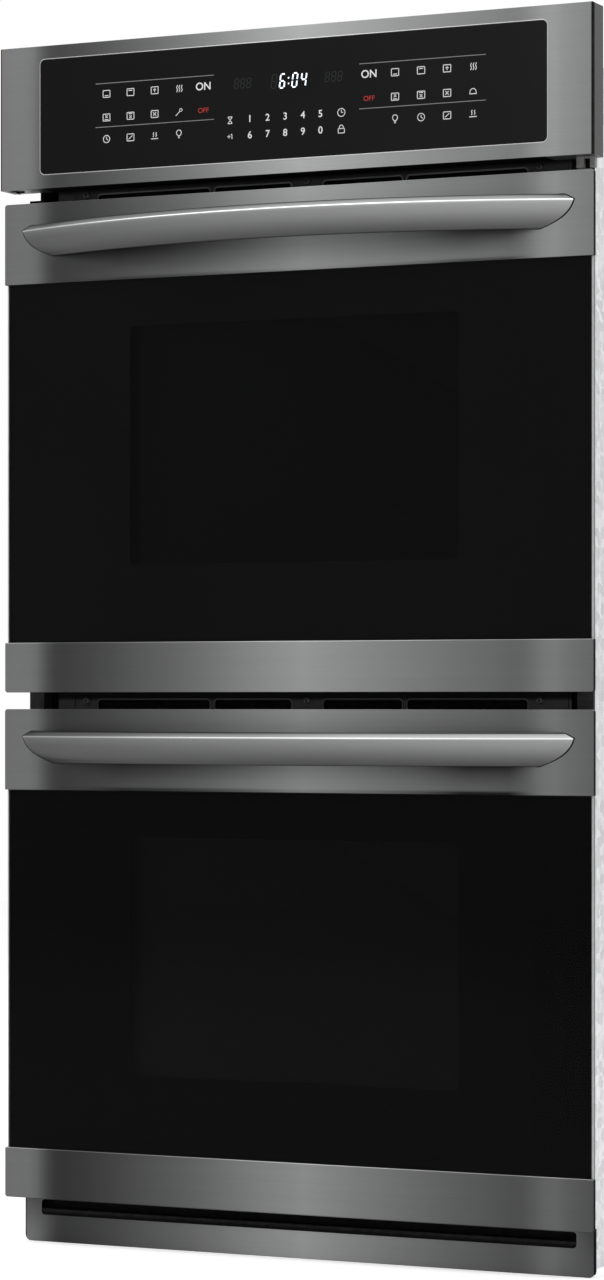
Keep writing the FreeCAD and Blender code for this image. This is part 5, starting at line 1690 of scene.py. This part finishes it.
@dataclass
class OvenDoor:
    """One drop-down door: steel strips, black glass with a window, handle, liner and hinges."""

    nodes: dict[str, bpy.types.Object]
    door: str
    high_steel: BrushedSheet
    low_steel: BrushedSheet
    # the handle's painted light: its gains at the foot and the ridge, and its facet's levels at both ends
    handle_gains: tuple[float, float]
    facet_levels: tuple[float, float]
    fold_width: float = 0.6 * MM
    strip_edge: float = 1.2 * MM
    window: tuple[float, float] = (0.387, 0.262)
    window_corner: float = 8.0 * MM
    border: float = 3.0 * MM
    # a solid of the window node that is thinner than this is a pane
    pane_most: float = 6.0 * MM
    # the screws on the liner: their inset from its sides, their radius and their heights as shares of its own
    screw_inset: float = 14.0 * MM
    screw_radius: float = 3.4 * MM
    screw_heights: tuple[float, ...] = (0.12, 0.37, 0.63, 0.88)

    def build(self) -> None:
        """Dress the door."""
        for node, finish in (("door_handle_strip", self.high_steel), ("door_lower_strip", self.low_steel)):
            strip = softened(self.nodes, f"{self.door}_{node}", finish, self.fold_width, segments=3)
            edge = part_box(f"{self.door}_{node}")[1].x - self.strip_edge
            # painted shade: the strips' undersides and outer ends go near black; painted highlights: their
            # tops and front top edges go lighter
            recoat(strip, SHADE_AND_EDGE_BLACK, lambda face: face.normal.z < -0.5
                   or (abs(face.normal.x) > 0.5 and abs(face.center.x) > edge))
            recoat(strip, TOP_HIGHLIGHT_STEEL, lambda face: face.normal.z > 0.6)
            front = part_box(f"{self.door}_{node}")[0].y + self.fold_width
            recoat(strip, EDGE_SHINE, lambda face: 0.1 < face.normal.z < 0.95 and face.center.y < front)
        softened(self.nodes, f"{self.door}_door_glass", DOOR_GLASS, 0.5 * MM, segments=2)
        self.print_border()
        softened(self.nodes, f"{self.door}_door_frame", FRAME_GREY, 0.25 * MM, segments=1)
        softened(self.nodes, f"{self.door}_door_liner", ENAMEL, 0.5 * MM, segments=2)
        self.window_parts()
        DoorHandle(self.door, self.facet_levels, self.handle_gains).build()
        self.liner_screws()

    def print_border(self) -> None:
        """The black print on the back of the glass, open at the window."""
        low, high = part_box(f"{self.door}_door_glass")
        middle = self.window_middle()
        half = (self.window[0] / 2 - self.border, self.window[1] / 2 - self.border)
        opening = ((-half[0], middle - half[1]), (half[0], middle + half[1]))
        rim = ((low.x + MM, low.z + MM), (high.x - MM, high.z - MM))
        front, back = high.y - 0.3 * MM, high.y - 0.1 * MM
        loops = [rounded(*rim, MM, front), rounded(*opening, self.window_corner - self.border, front),
                 rounded(*opening, self.window_corner - self.border, back), rounded(*rim, MM, back)]
        band = MeshMaker(f"{self.door}_glass_print").loft(loops, closed=True)
        band.finished(FRIT[self.door], f"{self.door}_door")

    def window_parts(self) -> None:
        """The two inner panes, and the enamelled sleeve that holds them."""
        node = f"{self.door}_door_window"
        softened(self.nodes, node, WINDOW_GLASS, 0.4 * MM, f"{self.door}_window_panes",
                 keep=lambda low, high: high.y - low.y < self.pane_most)
        softened(self.nodes, node, SLEEVE, 0.3 * MM, f"{self.door}_window_sleeve",
                 keep=lambda low, high: high.y - low.y >= self.pane_most)

    def window_middle(self) -> float:
        """The height of the window's middle."""
        low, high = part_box(f"{self.door}_door_window")
        return (low.z + high.z) / 2

    def liner_screws(self) -> None:
        """Domed screws round the liner's flange."""
        low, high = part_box(f"{self.door}_door_liner")
        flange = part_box(f"{self.door}_door_frame")[1].y + 1.2 * MM
        maker = MeshMaker(f"{self.door}_liner_screws")
        for x in (low.x + self.screw_inset, high.x - self.screw_inset):
            for share in self.screw_heights:
                foot = Vector((x, flange, low.z + (high.z - low.z) * share))
                add_screw(maker, foot, BACKWARD, self.screw_radius)
        maker.finished(SCREW_STEEL, f"{self.door}_door")


def add_screw(maker: MeshMaker, foot: Vector, out: Vector, radius: float) -> None:
    """Add a domed screw head with a round socket.

    Args:
        maker: The piece that the head is added to.
        foot: The middle of the head's seat.
        out: The direction that the head faces.
        radius: The head's radius.
    """
    high = radius * 0.55
    maker.lathe(foot, out, ((radius, 0), (radius, high * 0.45), (radius * 0.9, high * 0.8),
                            (radius * 0.62, high), (radius * 0.4, high), (radius * 0.36, high * 0.35)), 18)


@dataclass
class VentTrims:
    """The black plates in the gaps above the doors, with rimmed air slots and screw bosses."""

    nodes: dict[str, bpy.types.Object]
    slots: tuple[tuple[float, float], ...] = ((115.8, 251.0), (19.0, 109.5))
    slot_corner: float = 4.0 * MM
    bead: float = 0.8 * MM
    well: float = 6.0 * MM
    overlap: float = 4.7 * MM
    ribs: tuple[float, ...] = (-0.1127, 0.1127)
    pads: tuple[float, ...] = (-0.265, 0.0, 0.265)
    end_plate: tuple[float, float] = (0.2795, 0.2965)
    plate_rise: float = 1.2 * MM
    rib_radius: float = 1.3 * MM
    # a pad's radius and height, from its foot to its top
    PAD = ((6.2 * MM, 0.0), (5.9 * MM, 0.7 * MM), (5.3 * MM, 0.9 * MM))
    # per trim: how far the slots lie below its gap's roof, their height, and where the painted shadow starts
    # and where it is full
    gaps: dict[str, tuple[float, float, float, float]] = field(default_factory=lambda: {
        "vent_trim_upper": (3.0 * MM, 8.5 * MM, -2.5 * MM, 3.5 * MM),
        "vent_trim_middle": (8.0 * MM, 11.0 * MM, -9.5 * MM, -5.5 * MM)})

    def build(self) -> None:
        """Dress both plates."""
        for name, (drop, tall, full, gone) in self.gaps.items():
            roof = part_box(name)[1].z - self.overlap
            # painted shadow: the plate's black darkens from the first place up to the second
            plate = GapShadowBlack(name + "_paint", Slot.PAINT, (0.09, 0.09, 0.09), 0.6, gloss=0.03,
                             low=roof + full, high=roof + gone)
            softened(self.nodes, name, plate, 0.4 * MM)
            self.rims(name, (roof - drop - tall, roof - drop), UPPER_RIM if gone > 0 else MIDDLE_RIM)
            self.wells(name, (roof - drop - tall, roof - drop))
            self.bosses(name, plate)

    def openings(self) -> list[list[float]]:
        """The left and the right end of each slot."""
        return [sorted((side * start * MM, side * end * MM)) for side in (-1, 1) for start, end in self.slots]

    def rims(self, name: str, span: tuple[float, float], finish: Finish) -> None:
        """A raised bead round each slot.

        Args:
            name: The trim.
            span: The slots' foot and top.
            finish: The beads' finish.
        """
        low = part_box(name)[0]
        maker = MeshMaker(name + "_rims")
        for left, right in self.openings():
            path = rounded((left - self.bead, span[0] - self.bead), (right + self.bead, span[1] + self.bead),
                           self.slot_corner, low.y, 5)
            maker.tube(path, self.bead, BACKWARD, 0.9, closed=True, steps=8)
        maker.finished(finish, "chassis")

    def wells(self, name: str, span: tuple[float, float]) -> None:
        """A black baffle a little way behind each slot, as painted shade that keeps the slot dark inside.

        Args:
            name: The trim.
            span: The slots' foot and top.
        """
        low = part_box(name)[0]
        maker = MeshMaker(name + "_baffles")
        for left, right in self.openings():
            maker.box((left - self.well, low.y + self.well, span[0] - self.well / 2),
                      (right + self.well, low.y + self.well + MM, span[1] + self.well / 3))
        maker.finished(SHADE_AND_EDGE_BLACK, "chassis")

    def bosses(self, name: str, plate: GapShadowBlack) -> None:
        """Shallow ribs between the slots, pads at the screws and raised end plates.

        Args:
            name: The trim.
            plate: The trim's paint.
        """
        low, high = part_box(name)
        foot, top = low.z + self.overlap, high.z - self.overlap
        maker = MeshMaker(name + "_bosses")
        for x in self.ribs:
            path = [Vector((x, low.y, foot)), Vector((x, low.y, top))]
            maker.tube(path, self.rib_radius, BACKWARD, 0.8, steps=8)
        for x in self.pads:
            maker.lathe(Vector((x, low.y, (low.z + high.z) / 2)), FORWARD, self.PAD, 28)
        for side in (-1, 1):
            left, right = sorted((side * self.end_plate[0], side * self.end_plate[1]))
            maker.box((left, low.y - self.plate_rise, foot + self.plate_rise),
                      (right, low.y, top - self.plate_rise))
        maker.finished(plate, "chassis")


@dataclass
class FrontTrims:
    """The slotted base trim, its louver and the channels beside the doors."""

    nodes: dict[str, bpy.types.Object]
    lip_height: float = 3.4 * MM
    step_rise: float = 4.9 * MM
    base_edge: float = 1.3 * MM
    # the baffle behind the base slot: its inset from the trim's ends, its foot, and its gap under the trim
    baffle_inset: float = 14.0 * MM
    baffle_foot: float = 22.5 * MM
    baffle_gap: float = 1.5 * MM
    # how far behind the trim's face the baffle's cheeks start
    cheek_start: float = 1.2 * MM

    def build(self) -> None:
        """Dress the trims."""
        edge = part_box("base_trim")[1].x - self.base_edge
        base = softened(self.nodes, "base_trim", BASE_STEEL, 0.8 * MM, segments=3,
                        splits=(("x", edge), ("x", -edge)))
        # painted shadow: the trim's outer ends are near black, as the shadow line beside the cabinet
        recoat(base, SHADE_AND_EDGE_BLACK, lambda face: abs(face.center.x) > edge)
        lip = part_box("base_louver")[1].z - self.lip_height
        louver = softened(self.nodes, "base_louver", BLACK, 0.3 * MM, splits=(("z", lip),))
        # painted shade: the louver is near black below its lip, deep in the slot
        recoat(louver, SHADE_AND_EDGE_BLACK, lambda face: face.center.z < lip)
        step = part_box("vent_trim_upper")[0].z + self.step_rise
        trims = softened(self.nodes, "side_trims", TRIM_GREY, 0.4 * MM, splits=(("z", step),))
        recoat(trims, SHADE_AND_EDGE_BLACK, lambda face: face.center.z > step)
        self.slot_shade()

    def slot_shade(self) -> None:
        """A black baffle that closes the base slot's ends behind the trim, as painted shade that keeps them
        dark.
        """
        low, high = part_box("base_trim")
        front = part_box("base_louver")[1].y
        inner, top = high.x - self.baffle_inset, high.z - self.baffle_gap
        maker = MeshMaker("base_slot_shadow_baffle")
        maker.box((low.x + self.baffle_inset, front, self.baffle_foot), (inner, front + MM, top))
        for side in (-1, 1):
            left, right = sorted((side * inner, side * (inner - MM)))
            maker.box((left, low.y + self.cheek_start, self.baffle_foot), (right, front + MM, top))
        maker.finished(SHADE_AND_EDGE_BLACK, "chassis")


@dataclass
class Screws:
    """The chassis screws, with domed heads and round sockets."""

    nodes: dict[str, bpy.types.Object]
    shank: float = 2.0 * MM
    head: float = 4.0 * MM
    head_height: float = 2.2 * MM

    def build(self) -> None:
        """Make a head and a shank for each CAD screw."""
        makers = {True: MeshMaker("front_screws"), False: MeshMaker("rear_screws")}
        for low, high in islands(self.nodes["chassis_screws"]):
            front = (low.y + high.y) / 2 < 0
            out = FORWARD if front else BACKWARD
            middle_x, middle_z = (low.x + high.x) / 2, (low.z + high.z) / 2
            seat = low.y + self.head_height if front else high.y - self.head_height
            inner = high.y if front else low.y
            add_screw(makers[front], Vector((middle_x, seat, middle_z)), out, self.head)
            profile = ((self.shank * 0.6, 0), (self.shank, self.shank), (self.shank, abs(inner - seat)))
            makers[front].lathe(Vector((middle_x, inner, middle_z)), out, profile, 12)
        makers[True].finished(SCREW_STEEL, "chassis", replaces=("chassis_screws",))
        makers[False].finished(HINGE_STEEL, "chassis")


@dataclass
class OvenCavity:
    """One enamelled cavity, with its racks, fan wheel, latch hook and door hinges."""

    nodes: dict[str, bpy.types.Object]
    oven: str

    def build(self) -> None:
        """Dress the cavity."""
        for name, finish in (("cavity", ENAMEL), ("rack_high", WIRE), ("rack_low", WIRE),
                             ("fan_wheel", FAN_STEEL), ("latch_hook", HINGE_STEEL),
                             ("door_hinges", HINGE_STEEL)):
            coat(self.nodes[f"{self.oven}_{name}"], finish)


@dataclass
class DoorSeals:
    """The braided seals round the cavity mouths."""

    nodes: dict[str, bpy.types.Object]
    corner: float = 20.0 * MM
    width: float = 9.0 * MM
    spacing: float = 12.0 * MM

    def build(self) -> None:
        """Lay a flattened braid round each mouth."""
        maker = MeshMaker("braided_door_seals")
        half = self.width / 2
        for low, high in islands(self.nodes["door_gaskets"]):
            middle = (low.y + high.y) / 2
            corners = rounded((low.x + half, low.z + half), (high.x - half, high.z - half), self.corner,
                              middle, 10)
            path: Loop = []
            for point, after in zip(corners, corners[1:] + corners[:1]):
                count = max(1, round((after - point).length / self.spacing))
                path.extend(point.lerp(after, step / count) for step in range(count))
            maker.tube(path, half, BACKWARD, (high.y - low.y) / self.width, closed=True, steps=14)
        maker.finished(SEAL, "chassis", replaces=("door_gaskets",))


@dataclass
class Chassis:
    """The sheet-metal body behind the front: panels, pressed beads, screws and services."""

    nodes: dict[str, bpy.types.Object]
    bead: float = 6.0 * MM
    black_front: float = 30.0 * MM
    # beads of the side panels: their inset from front and back, and their heights as shares of the panel's
    side_inset: float = 70.0 * MM
    side_heights: tuple[float, ...] = (0.09, 0.34, 0.57, 0.82)
    # beads of the rear cover: their places across it, and their ends as shares of its height
    rear_columns: tuple[float, ...] = (-0.245, 0.0, 0.245)
    rear_spans: tuple[tuple[float, float], ...] = ((0.08, 0.4), (0.58, 0.76))
    # beads of the top: their places across it, and their front and back ends
    top_columns: tuple[float, ...] = (-0.2, 0.2)
    top_span: tuple[float, float] = (-0.14, 0.28)
    # the middle duct is black as painted shade, so that the middle gap's slots look dark inside
    plain: dict[str, Finish] = field(default_factory=lambda: {
        "base_pan": ZINC, "middle_duct": BLACK, "control_tray": ZINC, "display_module": NYLON,
        "control_board": BOARD, "cooling_fan_wheel": FAN_STEEL, "cooling_motor": MOTOR,
        "supply_gland": NYLON, "cavity_insulation": WOOL, "broil_elements": SHEATH, "bake_elements": SHEATH,
        "convection_elements": SHEATH, "convection_motors": MOTOR, "temperature_sensors": HINGE_STEEL,
        "latch_motors": MOTOR, "oven_lamps": LAMP_GLASS, "hinge_arms": HINGE_STEEL,
        "hinge_receivers": HINGE_STEEL, "fan_baffles": ENAMEL})

    def build(self) -> None:
        """Dress the chassis."""
        for name, finish in self.plain.items():
            coat(self.nodes[name], finish)
        for name in ("rear_cover", "top_cover", "junction_box", "cooling_fan_housing"):
            softened(self.nodes, name, ZINC, 0.4 * MM)
        for name in ("side_panel_right", "side_panel_left"):
            low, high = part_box(name)
            outside, rim = max(abs(low.x), abs(high.x)) - 0.2 * MM, low.y + self.black_front
            panel = softened(self.nodes, name, ZINC, 0.4 * MM, splits=(("y", rim),))
            recoat(panel, SHADE_AND_EDGE_BLACK, lambda face: face.center.y < rim and abs(face.center.x) < outside)
        self.side_beads()
        self.rear_beads()
        Screws(self.nodes).build()
        DoorSeals(self.nodes).build()

    def side_beads(self) -> None:
        """Stiffening beads pressed out of both side panels."""
        maker = MeshMaker("side_beads")
        for name, side in (("side_panel_left", -1), ("side_panel_right", 1)):
            low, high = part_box(name)
            face = high.x if side > 0 else low.x
            for share in self.side_heights:
                self.press(maker, (face, low.y + self.side_inset, high.z * share),
                           (face, high.y - self.side_inset, high.z * share), SIDEWAYS, 0.25, 8)
        maker.finished(ZINC, "chassis")

    def rear_beads(self) -> None:
        """Stiffening beads pressed out of the rear cover and the top."""
        back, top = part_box("rear_cover")[1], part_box("top_cover")[1].z
        maker = MeshMaker("rear_beads")
        for x in self.rear_columns:
            for start, end in self.rear_spans:
                self.press(maker, (x, back.y, back.z * start), (x, back.y, back.z * end), BACKWARD, 0.2)
        for x in self.top_columns:
            self.press(maker, (x, self.top_span[0], top), (x, self.top_span[1], top), UPWARD, 0.3)
        maker.finished(ZINC, "chassis")

    def press(self, maker: MeshMaker, start: Sequence[float], end: Sequence[float], out: Vector,
              rise: float, steps: int = 6) -> None:
        """Press one straight bead out of a sheet.

        Args:
            maker: The piece that it is added to.
            start: The middle of its one end.
            end: The middle of its other end.
            out: The way that the sheet faces.
            rise: Its rise, as a share of half its width.
            steps: How many parts it has.
        """
        path = [Vector(start).lerp(Vector(end), step / steps) for step in range(steps + 1)]
        maker.tube(path, self.bead, out, rise, steps=12)


def coat(node: bpy.types.Object, finish: Finish) -> None:
    """Give a CAD node that stays in view its finish.

    Args:
        node: The node.
        finish: The finish.
    """
    if not node.material_slots:
        node.data.materials.append(None)
    for place in node.material_slots:
        place.material = finish.material()
    log.info("%s: %s", node.name, finish.name)


# ---------------------------------------------------------------- studio
@dataclass
class Lamp:
    """One soft rectangular lamp: where it stands, what it faces, its size and its power."""

    name: str
    place: tuple[float, float, float]
    target: tuple[float, float, float]
    size: tuple[float, float]
    power: float

    def build(self) -> None:
        """Hang the lamp."""
        data = bpy.data.lights.new(self.name, "AREA")
        data.shape, data.size, data.size_y = "RECTANGLE", *self.size
        data.energy = self.power
        lamp = bpy.data.objects.new(self.name, data)
        bpy.context.scene.collection.objects.link(lamp)
        lamp.location = self.place
        lamp.rotation_euler = (Vector(self.target) - Vector(self.place)).to_track_quat("-Z", "Y").to_euler()


@dataclass
class Studio:
    """A plain pale floor, soft lamps, a white surround and the camera."""

    lens: float = 108.4
    turn: float = 25.0
    eye: tuple[float, float, float] = (1.7245, -3.9451, 0.590)
    rise: float = 0.0475
    diffuse_world: float = 0.62
    floor_half: float = 6.0
    lamps: tuple[Lamp, ...] = (
        Lamp("key_lamp", (-2.0, -3.0, 3.6), (0.0, 0.0, 0.75), (4.2, 2.6), 68.0),
        Lamp("top_lamp", (0.4, -1.1, 3.4), (0.0, -0.2, 0.8), (3.4, 2.2), 40.0),
        Lamp("side_lamp", (3.4, 1.4, 2.2), (0.0, 0.1, 0.7), (2.2, 2.2), 20.0),
        Lamp("rear_lamp", (-1.0, 3.6, 2.6), (0.0, 0.2, 0.7), (2.6, 2.2), 24.0))

    def build(self) -> None:
        """Set up the studio."""
        self.world()
        self.floor()
        for lamp in self.lamps:
            lamp.build()
        self.camera()

    @staticmethod
    def seen(graph: Graph) -> Socket:
        """1 for rays that come from the camera, or through gloss or glass, and 0 for the others.

        Args:
            graph: The nodes of the world or the floor.

        Returns:
            The number.
        """
        path = graph.node("ShaderNodeLightPath")
        both = graph.math("ADD", path.outputs["Is Camera Ray"], path.outputs["Is Glossy Ray"])
        return graph.math("ADD", both, path.outputs["Is Transmission Ray"], clamp=True)

    def world(self) -> None:
        """White to the eye and in reflections, softer as a light."""
        world = bpy.data.worlds.new("surround")
        bpy.context.scene.world = world
        world.use_nodes = True
        world.node_tree.nodes.clear()
        graph = Graph(world.node_tree)
        strength = graph.spread(self.seen(graph), 0.0, 1.0, self.diffuse_world, 1.0)
        ground = graph.node("ShaderNodeBackground", (1.0, 1.0, 1.0, 1.0), strength)
        graph.node("ShaderNodeOutputWorld", ground.outputs[0])

    def floor(self) -> None:
        """A pale floor that turns white to the eye but keeps the oven's shadow."""
        data = bpy.data.meshes.new("floor")
        half = self.floor_half
        corners = [(-half, -half, 0), (half, -half, 0), (half, half, 0), (-half, half, 0)]
        data.from_pydata(corners, [], [(0, 1, 2, 3)])
        floor = bpy.data.objects.new("floor", data)
        bpy.context.scene.collection.objects.link(floor)
        material = bpy.data.materials.new("pale_floor")
        material.use_nodes = True
        material.node_tree.nodes.clear()
        graph = Graph(material.node_tree)
        shader = graph.node("ShaderNodeBsdfPrincipled")
        shader.inputs["Base Color"].default_value = (0.82, 0.82, 0.82, 1.0)
        shader.inputs["Roughness"].default_value = 0.9
        shader.inputs["Specular IOR Level"].default_value = 0.0
        shader.inputs["Emission Color"].default_value = (1.0, 1.0, 1.0, 1.0)
        graph.feed(shader.inputs["Emission Strength"], graph.math("MULTIPLY", self.seen(graph), 0.42))
        graph.node("ShaderNodeOutputMaterial", shader.outputs["BSDF"])
        data.materials.append(material)

    def camera(self) -> None:
        """A level camera to the right of the oven's front."""
        data = bpy.data.cameras.new("camera")
        data.lens, data.sensor_width, data.sensor_fit = self.lens, 36.0, "AUTO"
        data.shift_y = self.rise
        data.clip_end = 60.0
        camera = bpy.data.objects.new("camera", data)
        bpy.context.scene.collection.objects.link(camera)
        camera.location = self.eye
        camera.rotation_euler = (math.radians(90.0), 0.0, math.radians(self.turn))
        bpy.context.scene.camera = camera


def main() -> None:
    """Load the frame, dress every piece and set up the studio."""
    logging.basicConfig(level=logging.INFO, format="%(name)s: %(message)s")
    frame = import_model()
    nodes = frame["nodes"]
    Studio().build()
    OvenDoor(nodes, "upper", UPPER_HANDLE_STEEL, UPPER_LOW_STEEL, (1.2, 1.22), (124.0, 104.0)).build()
    OvenDoor(nodes, "lower", LOWER_HANDLE_STEEL, LOWER_LOW_STEEL, (1.28, 0.8), (94.0, 150.0)).build()
    ControlPanel(nodes).build()
    VentTrims(nodes).build()
    FrontTrims(nodes).build()
    OvenCavity(nodes, "upper").build()
    OvenCavity(nodes, "lower").build()
    Chassis(nodes).build()
    view = bpy.context.scene.view_settings
    view.view_transform = "Standard"


if __name__ == "__main__":
    main()
